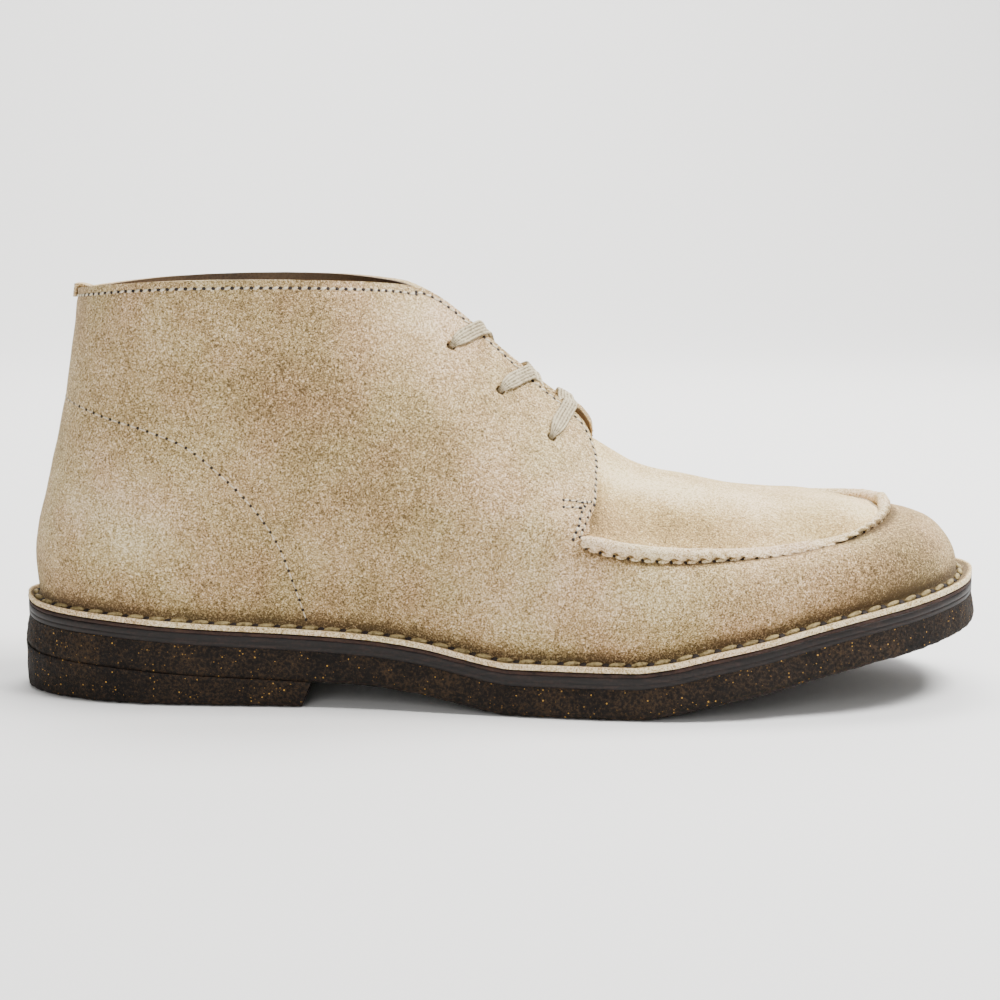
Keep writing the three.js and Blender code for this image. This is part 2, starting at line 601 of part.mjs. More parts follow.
// Crepe heel under the sole's seat, with a breast that leans forwards as it rises.
function heel() {
  const breast = placeX(0) + HEEL_LENGTH
  const lifted = EDGE_ROUND / HEEL_LIFT
  const front = [0, lifted * 0.3, lifted, 1].map((share) => breast + BREAST_LEAN * share)
  return plate([
    { inset: EDGE_ROUND, height: () => 0 },
    { inset: EDGE_ROUND * 0.3, height: () => EDGE_ROUND * 0.3 },
    { inset: 0, height: () => EDGE_ROUND },
    { inset: 0, height: (x) => bed(x) - GAP },
  ], HEEL_STEPS, front)
}

// Smooth dark band between crepe and upper.
function midsole() {
  return plate([
    { inset: SIDE_FLARE, height: bandFoot },
    { inset: SIDE_FLARE, height: bandTop },
  ], OUTLINE_STEPS)
}

// Footbed that lies inside the foot of the upper.
function insole() {
  const edge = SIDE_FLARE + FLANGE_REVEAL_TOE + WALL + GAP * 2
  return plate([
    { inset: edge, height: flangeFoot },
    { inset: edge, height: (x) => flangeFoot(x) + INSOLE_THICKNESS },
  ], OUTLINE_STEPS)
}

// The upper's foot, turned out flat over the sole edge.
function flange() {
  const side = outlineSteps(OUTLINE_STEPS)
  const places = [...side, ...side.slice(1, -1).reverse().map((at) => -at)]
  const ring = (pointAt, height) => places.map((at) => {
    const point = pointAt(at)
    return point.setZ(height(point.x))
  })
  const outerEdge = (at) => outline(at, SIDE_FLARE)
  const innerEdge = (at) => outline(at, SIDE_FLARE + reveal(at) + WALL * 0.8)
  const rings = [
    ring(innerEdge, flangeFoot),
    ring(outerEdge, flangeFoot),
    ring(outerEdge, seat),
    ring(innerEdge, seat),
  ]
  return meshOf(gridQuads([...rings, rings[0]], true))
}

// Side wall all round, and the quarter above it as far forward as the apron's start.
function quarterShell() {
  const half = ribPlaces(0, APRON_AT, QUARTER_RIBS, featherLine, topLine)
  const fore = ribPlaces(APRON_AT, 1, FORE_RIBS, featherLine, waistLine)
  const lateral = [...half, ...fore.slice(1)]
  const places = [...lateral.slice(1, -1).reverse().map((at) => -at), ...lateral]
  const foot = places.map((at) => featherLine(at, FLANGE_THICKNESS / 2))
  const rows = [foot, ...WALL_ROWS.slice(1).map((row) => places.map((at) => ribPoint(at, row)))]
  const wall = gridQuads(rows, true)
  const quarterPlaces = places.filter((at) => Math.abs(at) <= APRON_AT)
  const quarter = gridQuads([3, ...QUARTER_ROWS].map((row) => quarterPlaces.map((at) => ribPoint(at, row))))
  return thicken(meshOf([...wall, ...quarter]), WALL)
}

// Plug: the top of the vamp inside the apron, running back under the facings.
function plugShell() {
  const places = ribPlaces(crestPlaces[0], 1, PLUG_RIBS, waistLine, (at) => crestLine(at).point)
  const half = (side) => places.map((at) => {
    const edge = waistLine(side * at)
    const { point, crown } = crestLine(at)
    const inward = point.clone().sub(edge).setZ(0).normalize()
    edge.addScaledVector(inward, PLUG_TUCK)
    edge.z -= PLUG_TUCK
    const middle = mix(edge.z, point.z, crown)
    return Array.from({ length: PLUG_ROWS + 1 }, (unused, i) => {
      const share = i / PLUG_ROWS
      const height = curveValue([0, 0.5, 1, 1.5], [edge.z, middle, point.z, middle], share)
      return edge.clone().lerp(point, share).setZ(height)
    })
  })
  const lateral = half(1)
  const medial = half(-1)
  const rows = places.map((at, k) => [...lateral[k], ...medial[k].slice(0, -1).reverse()])
  return thicken(meshOf(gridQuads(rows).map((quad) => quad.reverse())), PLUG_WALL)
}

// Raised seam that rolls over the joint of side wall and plug.
function apronBead() {
  const span = 1 - APRON_AT
  const points = []
  const normals = []
  for (let k = 0; k <= BEAD_RIBS; k += 1) {
    const way = mix(APRON_AT, 2 - APRON_AT, k / BEAD_RIBS)
    const at = way <= 1 ? way : way - 2
    const point = waistLine(at)
    const crest = crestLine(at).point
    const wallUp = point.clone().sub(shoulderLine(at)).normalize()
    const inward = crest.sub(point).normalize()
    const normal = wallUp.sub(inward).normalize()
    const settle = smoothstep(Math.abs(Math.abs(way - 1) - span), 0, span * BEAD_SETTLE)
    points.push(point.addScaledVector(normal, BEAD_HEIGHT * mix(-BEAD_END_SINK, BEAD_STAND, settle)))
    normals.push(normal)
  }
  return sweep(points, normals, BEAD_WIDTH / 2, BEAD_HEIGHT / 2, BEAD_SIDES)
}

function eyeletPlaces() {
  const places = []
  for (const foot of EYELET_FEET) {
    for (const side of [1, -1]) {
      const at = side * roundAt(placeX(foot))
      const row = rowBelowEdge(at, EYELET_SETBACK)
      places.push({ side, at, row, point: ribPoint(at, row), normal: ribNormal(at, row) })
    }
  }
  return places
}

function upper() {
  const shell = withoutPockets(union([quarterShell(), plugShell(), apronBead(), flange()]))
  const punched = eyeletPlaces().reduce((solid, { point, normal }) => {
    const bore = new THREE.CylinderGeometry(EYELET_BORE / 2, EYELET_BORE / 2, WALL * 3, ROUND_SIDES)
    bore.deleteAttribute('normal')
    bore.deleteAttribute('uv')
    bore.applyQuaternion(new THREE.Quaternion().setFromUnitVectors(new THREE.Vector3(0, 1, 0), normal))
    bore.translate(point.x, point.y, point.z)
    return solid.subtract(toSolid(mergeVertices(bore)))
  }, shell)
  return toGeometry(punched)
}

// Tongue under the facings: it follows their inner face and bridges the gap between them.
function tongue() {
  const from = roundAt(placeX(TONGUE_TOP))
  const to = roundAt(placeX(TONGUE_FOOT))
  const depth = WALL + TONGUE_CLEARANCE
  const rows = Array.from({ length: TONGUE_ROWS + 1 }, (unused, k) => {
    const at = mix(from, to, k / TONGUE_ROWS)
    const wing = (side) => TONGUE_SHARES.map((share) => {
      const row = rowBelowEdge(side * at, Math.max(share * TONGUE_WING, 0.5))
      return ribPoint(side * at, row).addScaledVector(ribNormal(side * at, row), -depth)
    })
    const middle = wing(1).at(-1).lerp(wing(-1).at(-1), 0.5)
    middle.z -= TONGUE_SAG
    return [...wing(1), middle, ...wing(-1).reverse()]
  })
  return thicken(meshOf(gridQuads(rows).map((quad) => quad.reverse())), TONGUE_THICKNESS)
}

// Path of a lace over the outside of a facing, from an eyelet to the facing's edge.
function overFacing(eyelet, edgeFoot) {
  const lift = LACE_CLEARANCE + LACE_THICKNESS / 2
  const edgeAt = eyelet.side * roundAt(placeX(edgeFoot))
  return Array.from({ length: LACE_STEPS + 1 }, (unused, k) => {
    const share = k / LACE_STEPS
    const at = mix(eyelet.at, edgeAt, share)
    const row = mix(eyelet.row, 5, share)
    const normal = ribNormal(at, row)
    const raised = lift + LACE_EDGE_LIFT * share ** 2
    return { point: ribPoint(at, row).addScaledVector(normal, raised), normal }
  })
}

function ribbon(path) {
  const points = path.map((stop) => stop.point)
  return sweep(points, path.map((stop) => stop.normal), LACE_WIDTH / 2, LACE_THICKNESS / 2, 4)
}

// The bottom run: straight across the gap between the facings.
function laceBar() {
  const [lateral, medial] = eyeletPlaces()
  return ribbon([...overFacing(lateral, BAR_FOOT), ...overFacing(medial, BAR_FOOT).reverse()])
}

// Two runs that come over one facing and dive under the other, crossing in the gap.
function laceCross(level) {
  const strips = eyeletPlaces().slice(2 * level, 2 * level + 2).map((eyelet) => {
    const near = overFacing(eyelet, CROSS_NEAR_FEET[level - 1])
    const far = topLine(-eyelet.side * roundAt(placeX(CROSS_FAR_FEET[level - 1])))
    const edge = near.at(-1).point
    const end = far.clone().lerp(edge, CROSS_SHORT)
    end.z -= CROSS_DIP
    const past = edge.clone().lerp(end, CROSS_PAST).setZ(edge.z + LACE_CLEARANCE)
    const flat = new THREE.Vector3(0, 0, 1)
    return ribbon([...near, { point: past, normal: flat }, { point: end, normal: flat }])
  })
  return toGeometry(union(strips))
}

const group = new THREE.Group()
function addPiece(name, geometry, colour) {
  geometry.computeVertexNormals()
  const mesh = new THREE.Mesh(geometry, new THREE.MeshStandardMaterial(colour))
  mesh.name = name
  group.add(mesh)
}

addPiece('heel', heel(), COLOURS.crepe)
addPiece('outsole', outsole(), COLOURS.crepe)
addPiece('midsole', midsole(), COLOURS.band)
addPiece('insole', insole(), COLOURS.insole)
addPiece('upper', upper(), COLOURS.suede)
addPiece('tongue', tongue(), COLOURS.suede)
addPiece('lace_bar', laceBar(), COLOURS.lace)
addPiece('lace_cross_lower', laceCross(1), COLOURS.lace)
addPiece('lace_cross_upper', laceCross(2), COLOURS.lace)

export default group
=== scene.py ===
"""Looks of a suede chukka boot for the right foot: moccasin apron, flat lace, crepe sole.

Lengths are metres. +X runs from heel to toe, +Y to the inner (medial) side and +Z up, and the
origin is on the floor under the middle of the heel. Tables hold shares of the named sizes.
"""

import logging
import math
from collections.abc import Callable, Iterable, Sequence
from dataclasses import dataclass, field
from enum import Enum

import bmesh
import bpy
import numpy as np
from bmesh.types import BMesh
from bpy.types import Material, Node, NodeSocket, NodeTree, Object
from mathutils import Matrix, Vector, noise
from mathutils.bvhtree import BVHTree
from mathutils.kdtree import KDTree


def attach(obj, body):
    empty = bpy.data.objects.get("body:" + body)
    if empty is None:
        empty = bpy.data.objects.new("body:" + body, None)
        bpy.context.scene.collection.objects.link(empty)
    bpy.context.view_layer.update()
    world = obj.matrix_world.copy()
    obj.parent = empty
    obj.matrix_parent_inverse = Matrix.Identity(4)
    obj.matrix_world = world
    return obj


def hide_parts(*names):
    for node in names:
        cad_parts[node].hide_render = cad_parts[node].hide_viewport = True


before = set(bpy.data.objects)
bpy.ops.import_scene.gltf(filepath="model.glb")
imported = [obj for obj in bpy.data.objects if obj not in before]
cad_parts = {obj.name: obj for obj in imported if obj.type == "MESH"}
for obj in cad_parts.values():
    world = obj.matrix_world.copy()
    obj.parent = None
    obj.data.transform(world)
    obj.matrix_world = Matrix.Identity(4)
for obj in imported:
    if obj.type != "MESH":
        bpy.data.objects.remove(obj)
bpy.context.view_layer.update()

log = logging.getLogger("boot")
MM = 0.001
LATERAL = 1
MEDIAL = -1
Height = Callable[[np.ndarray], np.ndarray]
Inset = float | Callable[[np.ndarray], np.ndarray]


class Slot(Enum):
    """Material slots of the record."""

    SUEDE = "suede"
    LINING = "lining"
    INSOLE = "insole"
    CREPE = "crepe"
    BAND = "band"
    LACE = "lace"
    THREAD = "thread"


@dataclass(frozen=True)
class OutlineRow:
    """Reach of the sole to either side, as shares of half its width there."""

    along: float
    lateral: float
    medial: float


@dataclass(frozen=True)
class LineRow:
    """Where a rib that starts at foot meets a line round the last, as shares of the last's sizes."""

    foot: float
    along: float
    lateral: float
    medial: float
    up: float
    medial_up: float | None = None


@dataclass(frozen=True)
class CrestRow:
    """Crest of the plug, and how full the plug stands halfway down to the apron."""

    foot: float
    along: float
    medial: float
    up: float
    crown: float


def rows_of(kind: type, numbers: Sequence[tuple[float, ...]]) -> tuple:
    """Rows of one kind of table, from their numbers in the order of its fields."""
    return tuple(kind(*row) for row in numbers)


HEEL_OUTLINE = rows_of(OutlineRow, (
    (0.003, 0, 0),
    (0.013, 0.34, 0.34),
    (0.04, 0.6, 0.6),
    (0.085, 0.815, 0.8),
    (0.14, 0.943, 0.915),
    (0.21, 1, 0.957),
    (0.28, 1.03, 0.943),
))
FORE_OUTLINE = rows_of(OutlineRow, (
    (0.35, 0.71, 0.6),
    (0.42, 0.776, 0.61),
    (0.49, 0.86, 0.665),
    (0.56, 0.935, 0.766),
    (0.62, 0.981, 0.879),
    (0.68, 1, 0.972),
    (0.74, 0.972, 1.01),
    (0.8, 0.888, 0.99),
    (0.86, 0.805, 0.91),
    (0.91, 0.68, 0.785),
    (0.948, 0.52, 0.63),
    (0.978, 0.31, 0.43),
    (0.995, -0.065, 0.065),
))
# Height of the sole's underside: place along, share of the heel lift, share of the toe spring.
SOLE_RISE = (
    (0, 1.75, 0),
    (0.03, 1.52, 0),
    (0.1, 1.36, 0),
    (0.2, 1.12, 0),
    (0.3, 0.97, 0),
    (0.37, 0.82, 0),
    (0.42, 0.6, 0),
    (0.46, 0.3, 0),
    (0.49, 0.08, 0),
    (0.51, 0, 0),
    (0.625, 0, 0),
    (0.66, 0, 0.06),
    (0.7, 0, 0.185),
    (0.77, 0, 0.38),
    (0.81, 0, 0.51),
    (0.86, 0, 0.66),
    (0.915, 0, 0.79),
    (0.955, 0, 0.885),
    (1, 0, 1),
)
BELLY_LINE = rows_of(LineRow, (
    (0, 0.0164, 0, 0, 0.136),
    (0.04, 0.048, 0.357, 0.352, 0.141),
    (0.085, 0.09, 0.481, 0.472, 0.15),
    (0.14, 0.141, 0.561, 0.543, 0.16),
    (0.21, 0.21, 0.598, 0.58, 0.165),
    (0.28, 0.28, 0.62, 0.574, 0.165),
    (0.35, 0.351, 0.648, 0.565, 0.16),
    (0.42, 0.42, 0.704, 0.574, 0.15),
    (0.49, 0.489, 0.778, 0.611, 0.136),
    (0.56, 0.557, 0.848, 0.694, 0.121),
    (0.62, 0.618, 0.894, 0.796, 0.112),
    (0.68, 0.679, 0.913, 0.88, 0.107),
    (0.74, 0.739, 0.889, 0.917, 0.102),
    (0.8, 0.797, 0.813, 0.898, 0.097),
    (0.86, 0.854, 0.73, 0.82, 0.087),
    (0.91, 0.9, 0.605, 0.695, 0.073),
    (0.95, 0.937, 0.44, 0.54, 0.058),
    (0.98, 0.963, 0.225, 0.34, 0.047),
    (1, 0.9725, -0.065, 0.065, 0.041),
))
SHOULDER_LINE = rows_of(LineRow, (
    (0, 0.0197, 0, 0, 0.212),
    (0.04, 0.051, 0.356, 0.352, 0.218),
    (0.085, 0.092, 0.489, 0.478, 0.233),
    (0.14, 0.143, 0.572, 0.554, 0.243),
    (0.21, 0.21, 0.615, 0.593, 0.248),
    (0.28, 0.279, 0.643, 0.593, 0.248),
    (0.35, 0.349, 0.676, 0.593, 0.248),
    (0.42, 0.418, 0.728, 0.607, 0.248),
    (0.49, 0.486, 0.793, 0.644, 0.248),
    (0.56, 0.554, 0.852, 0.713, 0.243),
    (0.62, 0.614, 0.881, 0.8, 0.223),
    (0.68, 0.672, 0.88, 0.87, 0.209),
    (0.74, 0.73, 0.846, 0.893, 0.199),
    (0.8, 0.787, 0.769, 0.867, 0.189),
    (0.86, 0.843, 0.685, 0.785, 0.18),
    (0.91, 0.887, 0.56, 0.66, 0.17),
    (0.95, 0.922, 0.4, 0.5, 0.16),
    (0.98, 0.944, 0.2, 0.31, 0.153),
    (1, 0.953, -0.063, 0.063, 0.151),
))
# The waist line becomes the apron's seam from APRON_START on.
APRON_START = 0.585
WAIST_LINE = rows_of(LineRow, (
    (0, 0.027, 0, 0, 0.301),
    (0.04, 0.057, 0.344, 0.339, 0.311),
    (0.085, 0.097, 0.478, 0.463, 0.326),
    (0.14, 0.146, 0.567, 0.546, 0.337),
    (0.21, 0.211, 0.615, 0.593, 0.343),
    (0.28, 0.279, 0.648, 0.602, 0.346),
    (0.35, 0.348, 0.685, 0.611, 0.347),
    (0.42, 0.415, 0.733, 0.63, 0.353),
    (0.49, 0.482, 0.785, 0.667, 0.365),
    (0.545, 0.536, 0.815, 0.709, 0.369),
    (0.585, 0.577, 0.82, 0.733, 0.356, 0.364),
    (0.62, 0.61, 0.807, 0.769, 0.33, 0.354),
    (0.68, 0.664, 0.778, 0.815, 0.295, 0.34),
    (0.74, 0.718, 0.737, 0.82, 0.258, 0.316),
    (0.8, 0.769, 0.68, 0.787, 0.232, 0.285),
    (0.86, 0.818, 0.6, 0.7, 0.216, 0.262),
    (0.91, 0.856, 0.48, 0.575, 0.214, 0.247),
    (0.95, 0.881, 0.32, 0.42, 0.219, 0.24),
    (0.98, 0.894, 0.15, 0.25, 0.229, 0.238),
    (1, 0.898, -0.06, 0.06, 0.234),
))
ANKLE_LINE = rows_of(LineRow, (
    (0, 0.0485, 0, 0, 0.568),
    (0.04, 0.074, 0.32, 0.315, 0.583),
    (0.085, 0.11, 0.45, 0.435, 0.6),
    (0.14, 0.156, 0.537, 0.519, 0.621),
    (0.21, 0.218, 0.591, 0.57, 0.641),
    (0.28, 0.284, 0.615, 0.583, 0.656),
    (0.35, 0.352, 0.619, 0.583, 0.663),
    (0.42, 0.418, 0.595, 0.56, 0.664),
    (0.49, 0.487, 0.565, 0.53, 0.644),
    (0.52, 0.519, 0.55, 0.515, 0.606),
    (0.545, 0.55, 0.55, 0.519, 0.566),
    (0.565, 0.575, 0.565, 0.535, 0.496),
    (0.575, 0.581, 0.685, 0.63, 0.459),
))
TOP_LINE = rows_of(LineRow, (
    (0, 0.069, 0, 0, 0.944),
    (0.04, 0.093, 0.311, 0.311, 0.958),
    (0.085, 0.128, 0.467, 0.467, 0.976),
    (0.14, 0.17, 0.565, 0.561, 0.992),
    (0.21, 0.226, 0.615, 0.611, 1.006),
    (0.28, 0.287, 0.611, 0.607, 1.014),
    (0.33, 0.333, 0.552, 0.546, 1.018),
    (0.375, 0.374, 0.417, 0.413, 1.019),
    (0.41, 0.405, 0.25, 0.246, 1.017),
    (0.435, 0.43, 0.163, 0.159, 1.006, 0.996),
    (0.46, 0.459, 0.148, 0.144, 0.965, 0.953),
    (0.49, 0.493, 0.148, 0.144, 0.898, 0.887),
    (0.52, 0.531, 0.148, 0.144, 0.799),
    (0.545, 0.566, 0.15, 0.146, 0.712, 0.722),
    (0.558, 0.586, 0.167, 0.163, 0.652, 0.687),
    (0.566, 0.596, 0.241, 0.21, 0.583, 0.637),
    (0.573, 0.596, 0.407, 0.36, 0.525, 0.565),
    (0.579, 0.593, 0.611, 0.55, 0.453, 0.475),
))
CREST_LINE = rows_of(CrestRow, (
    (0.545, 0.551, 0.037, 0.692, 0.62),
    (0.565, 0.575, 0.037, 0.639, 0.62),
    (0.585, 0.602, 0.037, 0.586, 0.65),
    (0.62, 0.638, 0.056, 0.523, 0.7),
    (0.68, 0.692, 0.074, 0.451, 0.76),
    (0.74, 0.743, 0.102, 0.385, 0.8),
    (0.8, 0.789, 0.12, 0.341, 0.82),
    (0.86, 0.83, 0.12, 0.303, 0.84),
    (0.91, 0.859, 0.102, 0.269, 0.85),
    (0.95, 0.879, 0.083, 0.243, 0.86),
    (0.98, 0.889, 0.065, 0.233, 0.87),
    (1, 0.893, 0.06, 0.226, 0.9),
))


def smooth_share(value: np.ndarray, low: float, high: float) -> np.ndarray:
    """Share from 0 at low to 1 at high, with soft ends."""
    share = np.clip((np.asarray(value, float) - low) / (high - low), 0, 1)
    return share * share * (3 - 2 * share)


def ways_along(points: np.ndarray) -> np.ndarray:
    """Way from the first of some points to each of them."""
    return np.concatenate([[0], np.cumsum(np.linalg.norm(np.diff(points, axis=0), axis=1))])


def unit_rows(vectors: np.ndarray) -> np.ndarray:
    """The same directions with a length of 1."""
    return vectors / np.linalg.norm(vectors, axis=1)[:, None]


def search_tree(places: Sequence[Sequence[float]]) -> KDTree:
    """Tree that finds the nearest of some places.

    Args:
        places: The places, of three numbers each.

    Returns:
        The tree, ready to search.
    """
    tree = KDTree(len(places))
    for index, place in enumerate(places):
        tree.insert(place, index)
    tree.balance()
    return tree


def knot_slopes(places: np.ndarray, values: np.ndarray, limited: bool = False) -> np.ndarray:
    """Slope of a cubic at each of its knots.

    Args:
        places: Knot places, the last axis but one.
        values: Knot values, with their coordinates on the last axis.
        limited: Whether a flat stretch stays flat.

    Returns:
        Slopes in the shape of values.
    """
    steps = np.diff(places, axis=-1)[..., None]
    secants = np.diff(values, axis=-2) / steps
    before = secants[..., :-1, :]
    after = secants[..., 1:, :]
    if limited:
        product = before * after
        total = np.where(product > 0, before + after, 1)
        inner = np.where(product > 0, 2 * product / total, 0)
    else:
        ahead, behind = steps[..., 1:, :], steps[..., :-1, :]
        inner = (before * ahead + after * behind) / (ahead + behind)
    return np.concatenate([secants[..., :1, :], inner, secants[..., -1:, :]], axis=-2)


def cubic(start: np.ndarray, end: np.ndarray, slope_in: np.ndarray, slope_out: np.ndarray, width: np.ndarray,
          share: np.ndarray) -> np.ndarray:
    """Point at a share of the way between two knots.

    Args:
        start: Value at the first knot.
        end: Value at the second.
        slope_in: Slope at the first.
        slope_out: Slope at the second.
        width: Distance between them.
        share: Share of the way.

    Returns:
        The value there.
    """
    rise = end - start
    a = slope_in * width - rise
    b = rise - slope_out * width
    return start + rise * share + share * (1 - share) * (a * (1 - share) + b * share)


def curve_values(places: np.ndarray, values: np.ndarray, at: np.ndarray, limited: bool = False) -> np.ndarray:
    """Cubic through knots at uneven places.

    Args:
        places: Rising knot places.
        values: One row of values for each knot.
        at: Places to read.
        limited: Whether a flat stretch stays flat.

    Returns:
        One row of values for each place read.
    """
    at = np.clip(np.atleast_1d(np.asarray(at, float)), places[0], places[-1])
    k = np.clip(np.searchsorted(places, at, side="left") - 1, 0, len(places) - 2)
    slopes = knot_slopes(places, values, limited)
    width = (places[k + 1] - places[k])[:, None]
    share = (at - places[k])[:, None] / width
    return cubic(values[k], values[k + 1], slopes[k], slopes[k + 1], width, share)


def chord_curve(stops: np.ndarray, row: np.ndarray) -> np.ndarray:
    """Point on each rib, whose knots are spaced by their distances.

    Args:
        stops: Knots of each rib, as ribs by knots by 3.
        row: Whole numbers are knots, and parts between them shares of the way.

    Returns:
        One point for each rib.
    """
    ways = np.linalg.norm(np.diff(stops, axis=1), axis=2) + 1e-9
    places = np.concatenate([np.zeros((len(stops), 1)), np.cumsum(ways, axis=1)], axis=1)
    slopes = knot_slopes(places, stops)
    k = np.clip(np.floor(row).astype(int), 0, stops.shape[1] - 2)
    each = np.arange(len(stops))
    width = (places[each, k + 1] - places[each, k])[:, None]
    share = (row - k)[:, None]
    return cubic(stops[each, k], stops[each, k + 1], slopes[each, k], slopes[each, k + 1], width, share)


def closed_curve(knots: np.ndarray, samples: int) -> np.ndarray:
    """Points of a closed centripetal curve through knots, samples for each stretch and the first again.

    Args:
        knots: Corners, in order round the curve.
        samples: Points for each stretch.

    Returns:
        The points, with the first again at the end.
    """
    around = [np.roll(knots, shift, axis=0) for shift in (1, 0, -1, -2)]
    gaps = [np.linalg.norm(around[i + 1] - around[i], axis=1)[:, None] ** 0.5 for i in range(3)]
    p0, p1, p2, p3 = around
    d0, d1, d2 = gaps
    leave = ((p1 - p0) / d0 - (p2 - p0) / (d0 + d1) + (p2 - p1) / d1) * d1
    arrive = ((p2 - p1) / d1 - (p3 - p1) / (d1 + d2) + (p3 - p2) / d2) * d1
    t = (np.arange(samples) / samples)[None, :, None]
    p1, p2, leave, arrive = (part[:, None, :] for part in (p1, p2, leave, arrive))
    cubed, squared = 2 * p1 - 2 * p2 + leave + arrive, 3 * p2 - 3 * p1 - 2 * leave - arrive
    points = cubed * t**3 + squared * t**2 + leave * t + p1
    points = points.reshape(-1, knots.shape[1])
    return np.vstack([points, points[:1]])


@dataclass
class Last:
    """The foot form that the upper takes, and the heights of the sole under it."""

    shoe_length: float = 305 * MM
    ball_width: float = 107 * MM
    heel_width: float = 70 * MM
    heel_length: float = 92 * MM
    heel_lift: float = 8.4 * MM
    toe_spring: float = 22 * MM
    crepe_thickness: float = 9.3 * MM
    band_thickness: float = 3.2 * MM
    flange_thickness: float = 2.9 * MM
    gap: float = 0.3 * MM
    side_flare: float = 1.2 * MM
    reveal_heel: float = 3.6 * MM
    reveal_toe: float = 5 * MM
    upper_height: float = 103 * MM
    last_width: float = 108 * MM
    wall: float = 2.2 * MM
    fillet: float = 1.3 * MM
    lip_drop: float = 0.1 * MM
    groove: float = 0.5 * MM

    def __post_init__(self) -> None:
        """Works out the sole's plan curve and the lines round the last."""
        rows = [(row, self.heel_width / 2) for row in HEEL_OUTLINE]
        rows += [(row, self.ball_width / 2) for row in FORE_OUTLINE]
        lateral = [(self.place_x(row.along), -row.lateral * half) for row, half in rows]
        medial = [(self.place_x(row.along), row.medial * half) for row, half in rows]
        samples = 60
        self.loop = closed_curve(np.array(lateral + medial[-2:0:-1]), samples)
        ways = np.linalg.norm(np.diff(self.loop, axis=0), axis=1)
        self.loop_way = np.concatenate([[0], np.cumsum(ways)])
        self.toe_way = self.loop_way[(len(rows) - 1) * samples]
        self.rise = np.array(SOLE_RISE, float)
        self.waist = self.line_of(WAIST_LINE)
        self.belly = self.line_of(BELLY_LINE)
        self.shoulder = self.line_of(SHOULDER_LINE)
        self.apron_at = self.rib_at(APRON_START)
        self.ankle = self.line_of(ANKLE_LINE, to_apron=True)
        self.top = self.line_of(TOP_LINE, to_apron=True)
        self.crest_places = self.round_at(self.place_x(np.array([row.foot for row in CREST_LINE])))
        self.crest_values = np.array([(row.along, row.medial, row.up, row.crown) for row in CREST_LINE])

    def place_x(self, along: float | np.ndarray) -> float | np.ndarray:
        """X of a share of the shoe's length."""
        return along * self.shoe_length - self.heel_length / 2

    def outline(self, at: np.ndarray, inset: float | np.ndarray = 0) -> np.ndarray:
        """Points of the sole's plan curve, moved inwards.

        Args:
            at: 0 at the heel's back, 1 at the toe on the lateral side and -1 on the medial side.
            inset: How far inside the curve.

        Returns:
            Points on z = 0.
        """
        at = np.atleast_1d(np.asarray(at, float))
        total = self.loop_way[-1]
        way = np.where(at >= 0, at * self.toe_way, total + at * (total - self.toe_way))
        step = 0.2 * MM
        place = [np.interp(way, self.loop_way, self.loop[:, axis]) for axis in (0, 1)]
        ahead = [np.interp((way + step) % total, self.loop_way, self.loop[:, axis]) for axis in (0, 1)]
        behind = [np.interp((way - step) % total, self.loop_way, self.loop[:, axis]) for axis in (0, 1)]
        tangent = np.array([ahead[0] - behind[0], ahead[1] - behind[1]])
        tangent /= np.linalg.norm(tangent, axis=0)
        x, y = place[0] - tangent[1] * inset, place[1] + tangent[0] * inset
        return np.stack([x, y, np.zeros_like(way)], axis=1)

    def round_at(self, x: float | np.ndarray, side: int = LATERAL, inset: float = 0) -> float | np.ndarray:
        """How far round one side the outline reaches a given x."""
        shares = np.linspace(0, 1, 3001)
        return np.interp(x, self.outline(side * shares, inset)[:, 0], shares)

    def rib_at(self, along: float) -> float:
        """How far round a side the rib stands whose foot is at a share of the shoe's length."""
        return float(self.round_at(self.place_x(along)))

    def nearest_lip(self, points: np.ndarray) -> np.ndarray:
        """X and Y of the nearest place on the flange's edge to each point.

        Args:
            points: Places beside the flange.

        Returns:
            X and Y for each.
        """
        lip = self.outline(np.linspace(-1, 1, 1601)[:-1], self.side_flare)
        tree = search_tree(lip)
        return np.array([tree.find((x, y, 0))[0][:2] for x, y, _ in points])

    def bed(self, x: np.ndarray) -> np.ndarray:
        """Height of the sole's underside.

        Args:
            x: Places along the boot.

        Returns:
            A height for each.
        """
        share = (np.asarray(x, float) + self.heel_length / 2) / self.shoe_length
        values = curve_values(self.rise[:, 0], self.rise[:, 1:], share, limited=True)
        return values[:, 0] * self.heel_lift + values[:, 1] * self.toe_spring

    def crepe_top(self, x: np.ndarray) -> np.ndarray:
        """Height of the crepe's top."""
        return self.bed(x) + self.crepe_thickness

    def band_foot(self, x: np.ndarray) -> np.ndarray:
        """Height of the band's underside."""
        return self.crepe_top(x) + self.gap

    def band_top(self, x: np.ndarray) -> np.ndarray:
        """Height of the band's top."""
        return self.band_foot(x) + self.band_thickness

    def flange_foot(self, x: np.ndarray) -> np.ndarray:
        """Height of the flange's underside."""
        return self.band_top(x) + self.gap

    def seat(self, x: np.ndarray) -> np.ndarray:
        """Height of the flange's top."""
        return self.flange_foot(x) + self.flange_thickness

